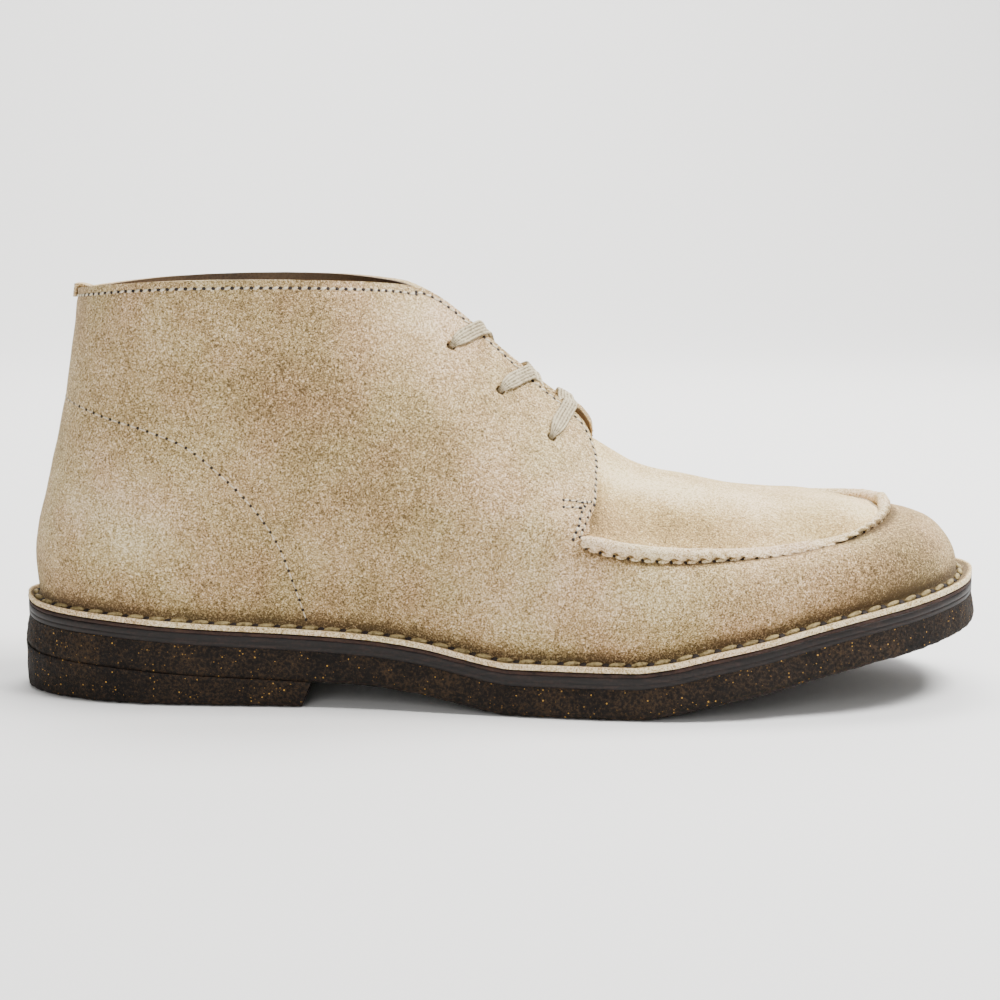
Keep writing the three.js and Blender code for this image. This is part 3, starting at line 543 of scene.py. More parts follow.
    def line_of(self, rows: Sequence[LineRow], to_apron: bool = False) -> "LastLine":
        """A line round the last through its rows, closed at the toe or ending at the apron's start.

        Args:
            rows: The line from the heel to the toe.
            to_apron: Whether it ends where the apron starts.

        Returns:
            The line.
        """
        knots: list[tuple[float, np.ndarray]] = []
        for side in (MEDIAL, LATERAL):
            side_knots = []
            for row in rows:
                x = self.place_x(row.along)
                up = row.medial_up if side == MEDIAL and row.medial_up else row.up
                y = (row.medial if side == MEDIAL else -row.lateral) * self.last_width / 2
                z = float(self.seat(x)[0]) + up * self.upper_height
                side_knots.append((side * self.rib_at(row.foot), np.array([x, y, z])))
            side_knots[0] = (0.0, side_knots[0][1])
            if to_apron:
                side_knots.append((side * self.apron_at, self.waist(side * self.apron_at)[0]))
            else:
                side_knots[-1] = (float(side), side_knots[-1][1])
            knots += side_knots[:0:-1] if side == MEDIAL else side_knots
        if not to_apron:
            knots = [(knots[-2][0] - 2, knots[-2][1]), *knots, (knots[1][0] + 2, knots[1][1])]
        return LastLine(np.array([at for at, point in knots]), np.array([point for at, point in knots]))

    def reveal(self, at: np.ndarray) -> np.ndarray:
        """How far the feather edge lies inside the flange's edge."""
        return self.reveal_heel + (self.reveal_toe - self.reveal_heel) * smooth_share(np.abs(at), 0.1, 0.5)

    def feather(self, at: np.ndarray) -> np.ndarray:
        """Where the side wall rises from the flange.

        Args:
            at: Places round the last.

        Returns:
            A point for each.
        """
        points = self.outline(at, self.side_flare + self.reveal(at))
        points[:, 2] = self.seat(points[:, 0])
        return points

    def crest(self, at: np.ndarray) -> tuple[np.ndarray, np.ndarray]:
        """Points of the plug's crest and the plug's fullness beside them.

        Args:
            at: Places round the last.

        Returns:
            Points, and the fullness at each.
        """
        values = curve_values(self.crest_places, self.crest_values, np.abs(at))
        x = self.place_x(values[:, 0])
        z = self.seat(x) + values[:, 2] * self.upper_height
        return np.stack([x, values[:, 1] * self.last_width / 2, z], axis=1), values[:, 3]

    def rib(self, at: np.ndarray, row: np.ndarray) -> np.ndarray:
        """Points of the last: row 0 at the feather edge, 3 at the waist or apron, 5 at the top edge.

        Args:
            at: Places round the last.
            row: Height of each on its rib.

        Returns:
            A point for each.
        """
        at, row = np.broadcast_arrays(*(np.atleast_1d(np.asarray(part, float)) for part in (at, row)))
        low = np.stack([self.feather(at), self.belly(at), self.shoulder(at), self.waist(at)], axis=1)
        tall = np.abs(at) <= self.apron_at + 1e-9
        points = np.empty((len(at), 3))
        if tall.any():
            high = np.stack([self.ankle(at[tall]), self.top(at[tall])], axis=1)
            points[tall] = chord_curve(np.concatenate([low[tall], high], axis=1), row[tall])
        if not tall.all():
            points[~tall] = chord_curve(low[~tall], row[~tall])
        return points

    def rib_normal(self, at: float, row: float) -> Vector:
        """Outward direction at one place of the last.

        Args:
            at: Place round the last.
            row: Height on its rib.

        Returns:
            The direction, of length 1.
        """
        step = 0.004
        inner = min(abs(at), self.apron_at - step) * (1 if at >= 0 else -1)
        places = np.array([inner + step, inner - step, inner, inner])
        rows = np.array([row, row, min(row + step, 5), row - step])
        ahead, behind, above, below = self.rib(places, rows)
        return Vector(np.cross(ahead - behind, above - below)).normalized()

    def skin(self, at: np.ndarray, row: np.ndarray) -> np.ndarray:
        """Outside of the upper: rows below 0 turn out over the flange, from its edge at -2.

        Args:
            at: Places round the last.
            row: Height of each on its rib.

        Returns:
            A point for each.
        """
        root = 0.1
        at, row = np.broadcast_arrays(np.asarray(at, float), np.asarray(row, float))
        points = self.rib(at, np.maximum(row, root))
        foot = row < root
        feather = self.feather(at[foot])
        edge = self.outline(at[foot], self.side_flare)
        edge[:, 2] = self.seat(edge[:, 0]) - self.lip_drop
        outward = edge - feather
        outward = unit_rows(outward)
        bend = feather + outward * self.fillet
        bend[:, 2] = feather[:, 2] - self.groove
        risen = self.rib(at[foot], root)
        t = np.clip((row[foot] + 1) / (1 + root), 0, 1)[:, None]
        curve = bend * (1 - t) ** 2 + feather * 2 * t * (1 - t) + risen * t**2
        share = np.clip(row[foot] + 2, 0, 1)
        flat = edge + (bend - edge) * share[:, None]
        flat[:, 2] = edge[:, 2] + (bend[:, 2] - edge[:, 2]) * smooth_share(share, 0.25, 0.75)
        points[foot] = np.where(row[foot][:, None] < -1, flat, curve)
        return points

    def row_below_edge(self, at: float, distance: float) -> float:
        """Row of a rib that lies a given way below its top edge.

        Args:
            at: Place round the last.
            distance: Way along the rib.

        Returns:
            The row.
        """
        rows = np.linspace(5, 3, 121)
        points = self.rib(np.full_like(rows, at), rows)
        ways = ways_along(points)
        return float(np.interp(distance, ways, rows))

    def rib_places(self, start: float, end: float, count: int, top_row: float) -> np.ndarray:
        """Places round the last that are even along the feather edge and a row above it together.

        Args:
            start: First place.
            end: Last place.
            count: Steps between them.
            top_row: The upper row.

        Returns:
            The places.
        """
        fine = np.linspace(start, end, 801)
        low = np.linalg.norm(np.diff(self.feather(fine), axis=0), axis=1)
        high = np.linalg.norm(np.diff(self.rib(fine, np.full_like(fine, top_row)), axis=0), axis=1)
        ways = np.concatenate([[0], np.cumsum(low + high)])
        places = np.interp(np.linspace(0, ways[-1], count + 1), ways, fine)
        places[0], places[-1] = start, end
        return places


@dataclass
class LastLine:
    """A line round the last, read by how far round it is."""

    places: np.ndarray
    points: np.ndarray

    def __call__(self, at: float | np.ndarray) -> np.ndarray:
        """Points of the line."""
        return curve_values(self.places, self.points, at)


def sheet_of(points: np.ndarray, close: bool = False, chart: np.ndarray | None = None) -> BMesh:
    """Grid of quads with its corners moved to points.

    Args:
        points: Corners as columns by rows by 3. Faces look along column step x row step.
        close: Whether corners that meet are merged.
        chart: UV place of each corner, as columns by rows by 2.

    Returns:
        The sheet.
    """
    columns, rows = points.shape[0] - 1, points.shape[1] - 1
    sheet = bmesh.new()
    bmesh.ops.create_grid(sheet, x_segments=columns, y_segments=rows, size=0.5)
    sheet.verts.index_update()
    flat = np.array([corner.co[:2] for corner in sheet.verts]) + 0.5
    i = np.rint(flat[:, 0] * columns).astype(int)
    j = np.rint(flat[:, 1] * rows).astype(int)
    if chart is not None:
        layer = sheet.loops.layers.uv.new("UVMap")
        for face in sheet.faces:
            for loop in face.loops:
                loop[layer].uv = chart[i[loop.vert.index], j[loop.vert.index]]
    for corner, point in zip(sheet.verts, points[i, j].tolist()):
        corner.co = point
    if close:
        bmesh.ops.remove_doubles(sheet, verts=sheet.verts, dist=0.005 * MM)
    return sheet


def merged(sheets: Iterable[BMesh]) -> BMesh:
    """Joins sheets into one where their corners meet, and frees them.

    Args:
        sheets: The sheets, freed here.

    Returns:
        The one sheet.
    """
    whole = bmesh.new()
    for sheet in sheets:
        part = bpy.data.meshes.new("part")
        sheet.to_mesh(part)
        sheet.free()
        whole.from_mesh(part)
        bpy.data.meshes.remove(part)
    bmesh.ops.remove_doubles(whole, verts=whole.verts, dist=0.005 * MM)
    return whole


def push(shape: BMesh, amounts: Sequence[float]) -> None:
    """Moves each corner of a shape along its own normal.

    Args:
        shape: The shape.
        amounts: How far each corner moves outwards.
    """
    shape.normal_update()
    moves = [corner.normal * amount for corner, amount in zip(shape.verts, amounts)]
    for corner, move in zip(shape.verts, moves):
        corner.co += move


def close_ends(sheet: BMesh) -> None:
    """Fills the open ends of a tube and turns its faces outwards."""
    bmesh.ops.holes_fill(sheet, edges=[edge for edge in sheet.edges if edge.is_boundary], sides=0)
    bmesh.ops.recalc_face_normals(sheet, faces=sheet.faces)


def paint_light_and_edge_tone(sheet: BMesh, shares: Sequence[float]) -> None:
    """Writes a tone at each corner of a sheet: painted shade where it is above 0, and painted light and the
    lip's pale cut edge where it is below.
    """
    painted_light_and_pale_edge = sheet.verts.layers.float.new("painted_light_and_pale_edge")
    for corner, share in zip(sheet.verts, shares):
        corner[painted_light_and_pale_edge] = share


def lumps(shape: BMesh, size: float, depth: float, seed: float = 0) -> list[float]:
    """Soft noise at a shape's corners, with lumps of a given size and depth."""
    shift = Vector((seed, seed * 0.7, -seed))
    return [noise.fractal(corner.co / size + shift, 1.0, 2.0, 2) * depth for corner in shape.verts]


def add_piece(name: str, shape: BMesh, material: Material,
              stands_for: Sequence[str] = ()) -> Object:
    """Makes a finished piece that rides on the boot.

    Args:
        name: The piece's name.
        shape: Its mesh, freed here.
        material: What it is made of.
        stands_for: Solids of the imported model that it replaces.

    Returns:
        The new object.
    """
    mesh = bpy.data.meshes.new(name)
    shape.to_mesh(mesh)
    shape.free()
    mesh.shade_smooth()
    mesh.materials.append(material)
    piece = bpy.data.objects.new(name, mesh)
    bpy.context.scene.collection.objects.link(piece)
    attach(piece, "root")
    if stands_for:
        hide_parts(*stands_for)
    log.info("%s: %d faces", name, len(mesh.polygons))
    return piece


def give_wall(piece: Object, thickness: float, edge: float,
              cutters: Sequence[Object] = ()) -> None:
    """Turns a sheet into leather of a real thickness with rounded edges and punched holes.

    Args:
        piece: The sheet, whose faces are its outside.
        thickness: How thick it is, inwards.
        edge: Radius of its cut edges.
        cutters: Punches for its holes.
    """
    wall = piece.modifiers.new("thickness", "SOLIDIFY")
    wall.thickness = thickness
    wall.offset = -1
    for cutter in cutters:
        punch = piece.modifiers.new("punch", "BOOLEAN")
        punch.operation = "DIFFERENCE"
        punch.solver = "MANIFOLD"
        punch.object = cutter
    rounding = piece.modifiers.new("edges", "BEVEL")
    rounding.width = edge
    rounding.segments = 2
    rounding.limit_method = "ANGLE"
    rounding.angle_limit = math.radians(55)
    evaluated = piece.evaluated_get(bpy.context.evaluated_depsgraph_get())
    made = bpy.data.meshes.new_from_object(evaluated)
    piece.modifiers.clear()
    piece.data = made
    made.shade_smooth()


def frame_matrix(place: Vector, along: Vector, normal: Vector, sizes: tuple[float, float, float]) -> Matrix:
    """Matrix that lays a unit ball at a place.

    Args:
        place: Its centre.
        along: Direction of its length.
        normal: Direction of its height.
        sizes: Half its length, width and height.

    Returns:
        The matrix, with the ball's poles along its length.
    """
    along = along.normalized()
    across = normal.cross(along).normalized()
    up = along.cross(across)
    turn = Matrix((across * sizes[1], up * sizes[2], along * sizes[0])).transposed().to_4x4()
    return Matrix.Translation(place) @ turn


def srgb(value: str) -> tuple[float, float, float, float]:
    """Linear colour of an sRGB hex value such as "#b9a688"."""
    parts = [int(value[i:i + 2], 16) / 255 for i in (1, 3, 5)]
    return (*[part / 12.92 if part <= 0.04045 else ((part + 0.055) / 1.055) ** 2.4 for part in parts], 1.0)


def add_node(tree: NodeTree, kind: str, inputs: dict | None = None, ramp: dict | None = None,
             **settings: object) -> Node:
    """Adds a node with its settings and links.

    Args:
        tree: The material's nodes.
        kind: The node's type, without its ShaderNode prefix.
        inputs: Values or sockets for its inputs, by name or number.
        ramp: Hex colours by place, for a colour ramp.
        settings: Properties of the node.

    Returns:
        The node.
    """
    node = tree.nodes.new("ShaderNode" + kind)
    for name, value in settings.items():
        setattr(node, name, value)
    for name, value in (inputs or {}).items():
        if isinstance(value, NodeSocket):
            tree.links.new(value, node.inputs[name])
        else:
            node.inputs[name].default_value = value
    for number, (place, colour) in enumerate((ramp or {}).items()):
        stops = node.color_ramp.elements
        stop = stops[number] if number < 2 else stops.new(place)
        stop.position = place
        stop.color = srgb(colour)
    return node


def new_material(name: str) -> tuple[Material, NodeTree, Node]:
    """A material with its nodes and its surface shader.

    Args:
        name: Its name.

    Returns:
        The material, its nodes and its surface shader.
    """
    material = bpy.data.materials.new(name)
    material.use_nodes = True
    tree = material.node_tree
    return material, tree, tree.nodes["Principled BSDF"]


@dataclass(frozen=True)
class NapLayer:
    """One size of unevenness in the nap, and how much it counts."""

    size: float
    detail: float
    bend: float
    weight: float


@dataclass(frozen=True)
class NappedSuede:
    """Split calf with a brushed nap: no gloss, and the nap's lie makes light and dark flecks.

    Broad patches come from dyeing, small flecks from the nap, which reads under a millimetre wide.
    """

    name: str = "napped_suede"
    deep: str = "#5d4e37"
    dark: str = "#8f7b5a"
    body: str = "#b3996e"
    light: str = "#d1bb8f"
    bright: str = "#f3e7cb"
    patch: NapLayer = NapLayer(32 * MM, 2, 0.6, 0.15)
    blotch: NapLayer = NapLayer(8 * MM, 3, 0.4, 0.13)
    fleck: NapLayer = NapLayer(0.62 * MM, 2, 0.9, 0.8)
    fibre: NapLayer = NapLayer(0.34 * MM, 1, 0.5, 0.6)
    contrast: float = 0.36
    # Weight of the mesh's tone attribute: painted shade, painted light and the lip's pale cut edge.
    painted_light_and_pale_edge: float = 0.3
    warm: str = "#fff0ea"
    cool: str = "#fbf8e8"
    lift: float = 0.0
    fore_lift: float = 0.03
    nap_height: float = 0.4 * MM

    def make(self) -> Material:
        """Builds the suede.

        Returns:
            The material.
        """
        material, tree, shader = new_material(self.name)
        place = add_node(tree, "TexCoord").outputs["Object"]
        spot = add_node(tree, "SeparateXYZ", {0: place})
        fore = add_node(tree, "MapRange", {"Value": spot.outputs["X"], "From Min": 60 * MM,
                                           "From Max": 150 * MM, "To Min": self.lift,
                                           "To Max": self.lift + self.fore_lift})
        # Painted shade and painted light from the mesh attribute darken or lighten the tone; the lip's pale
        # cut edge, its own colour, comes in the same way.
        foot = add_node(tree, "Attribute", attribute_name="painted_light_and_pale_edge")
        tone = add_node(tree, "Math", {0: foot.outputs["Fac"], 1: -self.painted_light_and_pale_edge, 2: fore.outputs["Result"]},
                        operation="MULTIPLY_ADD").outputs[0]
        heights = []
        layers = (self.patch, self.blotch, self.fleck, self.fibre)
        for layer in layers:
            waves = add_node(tree, "TexNoise", {"Vector": place, "Scale": 1 / layer.size,
                                                "Detail": layer.detail, "Roughness": 0.6,
                                                "Distortion": layer.bend}).outputs["Fac"]
            tone = add_node(tree, "Math", {0: waves, 1: layer.weight, 2: tone},
                            operation="MULTIPLY_ADD").outputs[0]
            heights.append(waves)
        middle = sum(layer.weight for layer in layers) / 2
        spread = add_node(tree, "MapRange", {"Value": tone, "From Min": middle - self.contrast / 2,
                                             "From Max": middle + self.contrast / 2})
        colour = add_node(tree, "ValToRGB", {"Fac": spread.outputs["Result"]},
                          {0: self.deep, 1: self.bright, 0.27: self.dark, 0.5: self.body, 0.73: self.light})
        hue = add_node(tree, "TexNoise", {"Vector": place, "Scale": 1 / (24 * MM), "Detail": 2,
                                          "Roughness": 0.5})
        tint = add_node(tree, "ValToRGB", {"Fac": hue.outputs["Fac"]}, {0.35: self.warm, 0.65: self.cool})
        dyed = add_node(tree, "Mix", {0: 0.85, 6: colour.outputs["Color"], 7: tint.outputs["Color"]},
                        data_type="RGBA", blend_type="MULTIPLY")
        tree.links.new(dyed.outputs[2], shader.inputs["Base Color"])
        coarse = add_node(tree, "Bump", {"Height": heights[1], "Strength": 0.3, "Distance": 0.5 * MM})
        nap = add_node(tree, "Bump", {"Height": heights[2], "Strength": 0.9, "Distance": self.nap_height,
                                      "Normal": coarse.outputs["Normal"]})
        fine = add_node(tree, "Bump", {"Height": heights[3], "Strength": 0.7,
                                       "Distance": self.nap_height * 0.5, "Normal": nap.outputs["Normal"]})
        tree.links.new(fine.outputs["Normal"], shader.inputs["Normal"])
        shader.inputs["Roughness"].default_value = 0.95
        shader.inputs["Specular IOR Level"].default_value = 0.12
        shader.inputs["Sheen Weight"].default_value = 0.15
        shader.inputs["Sheen Roughness"].default_value = 0.5
        shader.inputs["Sheen Tint"].default_value = srgb("#fff1dc")
        return material


@dataclass(frozen=True)
class SmoothLeather:
    """Vegetable-tanned lining leather: rolled smooth, with fine pores and a dull wax gloss."""

    name: str
    dark: str
    light: str
    cloud: float = 22 * MM
    pore: float = 0.7 * MM
    roughness: float = 0.6

    def make(self) -> Material:
        """Builds the leather.

        Returns:
            The material.
        """
        material, tree, shader = new_material(self.name)
        place = add_node(tree, "TexCoord").outputs["Object"]
        cloud = add_node(tree, "TexNoise", {"Vector": place, "Scale": 1 / self.cloud, "Detail": 4,
                                            "Roughness": 0.6})
        pores = add_node(tree, "TexVoronoi", {"Vector": place, "Scale": 1 / self.pore})
        tone = add_node(tree, "Math", {0: pores.outputs["Distance"], 1: 0.25, 2: cloud.outputs["Fac"]},
                        operation="MULTIPLY_ADD")
        colour = add_node(tree, "ValToRGB", {"Fac": tone.outputs[0]}, {0.35: self.dark, 0.8: self.light})
        tree.links.new(colour.outputs["Color"], shader.inputs["Base Color"])
        grain = add_node(tree, "Bump", {"Height": pores.outputs["Distance"], "Strength": 0.3,
                                        "Distance": 0.1 * MM})
        tree.links.new(grain.outputs["Normal"], shader.inputs["Normal"])
        shader.inputs["Roughness"].default_value = self.roughness
        shader.inputs["Specular IOR Level"].default_value = 0.35
        return material


@dataclass(frozen=True)
class NaturalCrepe:
    """Natural crepe rubber: sheeted latex crumb, pitted and lumpy, dark with amber grains."""

    name: str = "natural_crepe"
    pit: str = "#040201"
    body: str = "#150e09"
    crumb: str = "#3a2b1b"
    amber_dark: str = "#5d4320"
    amber: str = "#c99a45"
    grain: float = 0.9 * MM
    speck: float = 1.1 * MM
    cloud: float = 16 * MM

    def make(self) -> Material:
        """Builds the crepe.

        Returns:
            The material.
        """
        material, tree, shader = new_material(self.name)
        place = add_node(tree, "TexCoord").outputs["Object"]
        grain = add_node(tree, "TexNoise", {"Vector": place, "Scale": 1 / self.grain, "Detail": 4,
                                            "Roughness": 0.75})
        cloud = add_node(tree, "TexNoise", {"Vector": place, "Scale": 1 / self.cloud, "Detail": 2})
        tone = add_node(tree, "Math", {0: cloud.outputs["Fac"], 1: 0.3, 2: grain.outputs["Fac"]},
                        operation="MULTIPLY_ADD")
        colour = add_node(tree, "ValToRGB", {"Fac": tone.outputs[0]},
                          {0.48: self.pit, 0.8: self.crumb, 0.63: self.body})
        specks = add_node(tree, "TexVoronoi", {"Vector": place, "Scale": 1 / self.speck, "Randomness": 1})
        chance = add_node(tree, "SeparateColor", {0: specks.outputs["Color"]})
        limit = add_node(tree, "Math", {0: chance.outputs[0], 1: 0.22, 2: 0.02}, operation="MULTIPLY_ADD")
        near = add_node(tree, "Math", {0: specks.outputs["Distance"], 1: limit.outputs[0]},
                        operation="LESS_THAN")
        sparse = add_node(tree, "Math", {0: cloud.outputs["Fac"], 1: 0.35, 2: chance.outputs[1]},
                          operation="MULTIPLY_ADD")
        few = add_node(tree, "Math", {0: sparse.outputs[0], 1: 0.57}, operation="GREATER_THAN")
        shown = add_node(tree, "Math", {0: near.outputs[0], 1: few.outputs[0]}, operation="MULTIPLY")
        ambers = add_node(tree, "ValToRGB", {"Fac": chance.outputs[2]},
                          {0.35: self.amber_dark, 1: self.amber})
        mixed = add_node(tree, "Mix", {0: shown.outputs[0], 6: colour.outputs["Color"],
                                       7: ambers.outputs["Color"]}, data_type="RGBA")
        tree.links.new(mixed.outputs[2], shader.inputs["Base Color"])
        bump = add_node(tree, "Bump", {"Height": grain.outputs["Fac"], "Strength": 1.0, "Distance": 0.7 * MM})
        tree.links.new(bump.outputs["Normal"], shader.inputs["Normal"])
        shader.inputs["Roughness"].default_value = 0.75
        shader.inputs["Specular IOR Level"].default_value = 0.22
        return material


@dataclass(frozen=True)
class SmoothEdge:
    """Dyed and ironed edge of the midsole: close, smooth and a little waxy, with drawn-out streaks."""

    name: str = "ironed_edge"
    dark: str = "#0b0604"
    body: str = "#100907"
    # Lighter streaks where the ironed edge is worn: its own colour.
    wear_and_painted_light: str = "#2d1d16"
    streak: float = 9 * MM

    def make(self) -> Material:
        """Builds the edge.

        Returns:
            The material.
        """
        material, tree, shader = new_material(self.name)
        place = add_node(tree, "TexCoord").outputs["Object"]
        drawn = add_node(tree, "Mapping", {"Vector": place, "Scale": (1, 1, 9)})
        streaks = add_node(tree, "TexNoise", {"Vector": drawn.outputs[0], "Scale": 1 / self.streak,
                                              "Detail": 5, "Roughness": 0.7})
        fine = add_node(tree, "TexNoise", {"Vector": place, "Scale": 1 / (0.9 * MM), "Detail": 2})
        tone = add_node(tree, "Math", {0: fine.outputs["Fac"], 1: 0.35, 2: streaks.outputs["Fac"]},
                        operation="MULTIPLY_ADD")
        colour = add_node(tree, "ValToRGB", {"Fac": tone.outputs[0]},
                          {0.4: self.dark, 0.95: self.wear_and_painted_light, 0.65: self.body})
        tree.links.new(colour.outputs["Color"], shader.inputs["Base Color"])
        bump = add_node(tree, "Bump", {"Height": tone.outputs[0], "Strength": 0.4, "Distance": 0.25 * MM})
        tree.links.new(bump.outputs["Normal"], shader.inputs["Normal"])
        shader.inputs["Roughness"].default_value = 0.52
        shader.inputs["Specular IOR Level"].default_value = 0.3
        return material


@dataclass(frozen=True)
class RibbedCotton:
    """Flat woven cotton lace: dry, with a fine cross weave on its lengthwise ribs."""

    name: str = "ribbed_cotton"
    shade: str = "#73674d"
    body: str = "#c4b698"
    ribs: int = 5
    pick: float = 0.55 * MM

    def make(self, length: float) -> Material:
        """Builds the lace's cotton.

        Args:
            length: Length of the lace, which its UV map runs along.

        Returns:
            The material.
        """
        material, tree, shader = new_material(self.name)
        chart = add_node(tree, "UVMap", uv_map="UVMap").outputs["UV"]
        parts = add_node(tree, "SeparateXYZ", {0: chart})
        turns = add_node(tree, "Math", {0: parts.outputs["Y"], 1: 2 * math.pi * self.ribs},
                         operation="MULTIPLY")
        ribs = add_node(tree, "Math", {0: turns.outputs[0]}, operation="COSINE")
        picks = add_node(tree, "Math", {0: parts.outputs["X"], 1: 2 * math.pi * length / self.pick},
                         operation="MULTIPLY")
        weave = add_node(tree, "Math", {0: picks.outputs[0]}, operation="SINE")
        place = add_node(tree, "TexCoord").outputs["Object"]
        fuzz = add_node(tree, "TexNoise", {"Vector": place, "Scale": 1 / (0.8 * MM), "Detail": 3})
        tone = add_node(tree, "Math", {0: ribs.outputs[0], 1: -0.13, 2: fuzz.outputs["Fac"]},
                        operation="MULTIPLY_ADD")
        height = add_node(tree, "Math", {0: weave.outputs[0], 1: 0.08, 2: tone.outputs[0]},
                          operation="MULTIPLY_ADD")
        colour = add_node(tree, "ValToRGB", {"Fac": height.outputs[0]}, {0.28: self.shade, 0.62: self.body})
        tree.links.new(colour.outputs["Color"], shader.inputs["Base Color"])
        bump = add_node(tree, "Bump", {"Height": height.outputs[0], "Strength": 0.6, "Distance": 0.2 * MM})
        tree.links.new(bump.outputs["Normal"], shader.inputs["Normal"])
        shader.inputs["Roughness"].default_value = 0.9
        shader.inputs["Specular IOR Level"].default_value = 0.2
        return material


@dataclass(frozen=True)
class WaxedThread:
    """Waxed linen thread: matt, with a slight change of tone from stitch to stitch."""

    name: str
    dark: str
    light: str

    def make(self) -> Material:
        """Builds the thread.

        Returns:
            The material.
        """
        material, tree, shader = new_material(self.name)
        place = add_node(tree, "TexCoord").outputs["Object"]
        tone = add_node(tree, "TexNoise", {"Vector": place, "Scale": 1 / (1.2 * MM), "Detail": 3,
                                           "Roughness": 0.7})
        colour = add_node(tree, "ValToRGB", {"Fac": tone.outputs["Fac"]}, {0.35: self.dark, 0.65: self.light})
        tree.links.new(colour.outputs["Color"], shader.inputs["Base Color"])
        bump = add_node(tree, "Bump", {"Height": tone.outputs["Fac"], "Strength": 0.5, "Distance": 0.15 * MM})
        tree.links.new(bump.outputs["Normal"], shader.inputs["Normal"])
        shader.inputs["Roughness"].default_value = 0.75
        return material


@dataclass(frozen=True)
class Wardrobe:
    """Every material of the boot, made once."""

    suede: Material = field(default_factory=lambda: NappedSuede().make())
    plug: Material = field(default_factory=lambda: NappedSuede(
        name="brushed_plug_suede", fleck=NapLayer(0.62 * MM, 2, 0.9, 0.66),
        fibre=NapLayer(0.34 * MM, 1, 0.5, 0.5), lift=0.05, nap_height=0.24 * MM, warm="#fff3df",
        cool="#f8f0d4").make())
    seam: Material = field(default_factory=lambda: NappedSuede(
        name="rolled_seam_suede", lift=0.08).make())
    lining: Material = field(default_factory=lambda: SmoothLeather(
        "rust_lining_leather", "#38291b", "#665038").make())
    layer: Material = field(default_factory=lambda: SmoothLeather(
        "split_lining_edge", "#170d0a", "#3a261e", cloud=5 * MM, roughness=0.8).make())
    sock: Material = field(default_factory=lambda: SmoothLeather(
        "tan_sock_leather", "#8a5c36", "#b98853", roughness=0.65).make())
    crepe: Material = field(default_factory=lambda: NaturalCrepe().make())
    edge: Material = field(default_factory=lambda: SmoothEdge().make())
    thread: Material = field(default_factory=lambda: WaxedThread(
        "pale_waxed_thread", "#b3a283", "#e8dcc4").make())
    welt_thread: Material = field(default_factory=lambda: WaxedThread(
        "olive_waxed_thread", "#66552f", "#b39e6c").make())
    # Dark marks of painted shade in the needle holes.
    hole: Material = field(default_factory=lambda: WaxedThread(
        "needle_hole_painted_shade", "#120b06", "#2a1c12").make())


@dataclass(frozen=True)
class Crease:
    """A soft trough, or a ridge where depth is negative, along a straight run across the leather."""

    start: tuple[float, float, float]
    end: tuple[float, float, float]
    width: float
    depth: float

    def depths(self, points: np.ndarray) -> np.ndarray:
        """How far each point is pushed in.

        Args:
            points: Corners of the leather.

        Returns:
            A depth for each.
        """
        start, end = np.array(self.start) * MM, np.array(self.end) * MM
        run = end - start
        share = np.clip((points - start) @ run / (run @ run), 0, 1)
        away = np.linalg.norm(points - start - share[:, None] * run, axis=1)
        fade = np.sin(np.pi * np.clip(share, 0.04, 0.96)) ** 0.6
        return self.depth * MM * fade * np.exp(-((away / (self.width * MM)) ** 2))


@dataclass(frozen=True)
class PaintedLightPatch:
    """A soft patch of painted shade, or of painted light where tone is negative, in millimetres."""

    along: float
    level: float
    reach: tuple[float, float]
    tone: float

    def tones(self, along: np.ndarray, level: np.ndarray) -> np.ndarray:
        """What the patch adds at each point, given as two of its coordinates."""
        across = (along / MM - self.along) / self.reach[0]
        up = (level / MM - self.level) / self.reach[1]
        return self.tone * np.exp(-(across**2 + up**2))


# Patches of painted light and shade, placed by X and Z on the side, and by X and Y on the plug.
SIDE_PAINTED_LIGHT = (
    PaintedLightPatch(-9, 55, (22, 20), -0.25),
    PaintedLightPatch(45, 97, (36, 22), 0.14),
    PaintedLightPatch(76, 67, (28, 18), 0.1),
    PaintedLightPatch(114, 31, (28, 12), -0.16),
    PaintedLightPatch(231, 47, (17, 14), 0.28),
    PaintedLightPatch(224, 34, (22, 8), 0.3),
    PaintedLightPatch(89, 117, (22, 12), -0.22),
)
PLUG_PAINTED_LIGHT = (
    PaintedLightPatch(158, -13, (34, 7), -0.28),
    PaintedLightPatch(152, -32, (26, 9), 0.42),
    PaintedLightPatch(132, -34, (6, 14), 0.4),
    PaintedLightPatch(212, -24, (26, 8), 0.22),
    PaintedLightPatch(214, -2, (20, 12), -0.2),
)
SIDE_CREASES = (
    Crease((62, -34, 62), (92, -36, 44), 7, 0.7),
    Crease((78, -33, 72), (112, -37, 56), 6, 0.5),
    Crease((62, 32, 60), (92, 34, 44), 7, 0.7),
    Crease((78, 31, 70), (112, 34, 54), 6, 0.5),
    Crease((-24, -16, 88), (-4, -27, 80), 7, 0.4),
    Crease((-24, 16, 88), (-4, 27, 80), 7, 0.4),
    Crease((120, -47, 46), (142, -50, 34), 6, 0.5),
    Crease((120, 40, 46), (142, 44, 34), 6, 0.5),
)
PLUG_CREASES = (
    Crease((140, -40, 52), (154, 0, 76), 6, 0.7),
    Crease((150, -38, 50), (166, 4, 70), 5, 0.5),
    Crease((144, 38, 56), (154, 2, 76), 6, 0.6),
    Crease((138, -16, 65), (188, -7, 61), 9, -0.6),
    Crease((138, -30, 60), (176, -34, 52), 8, 0.6),
)


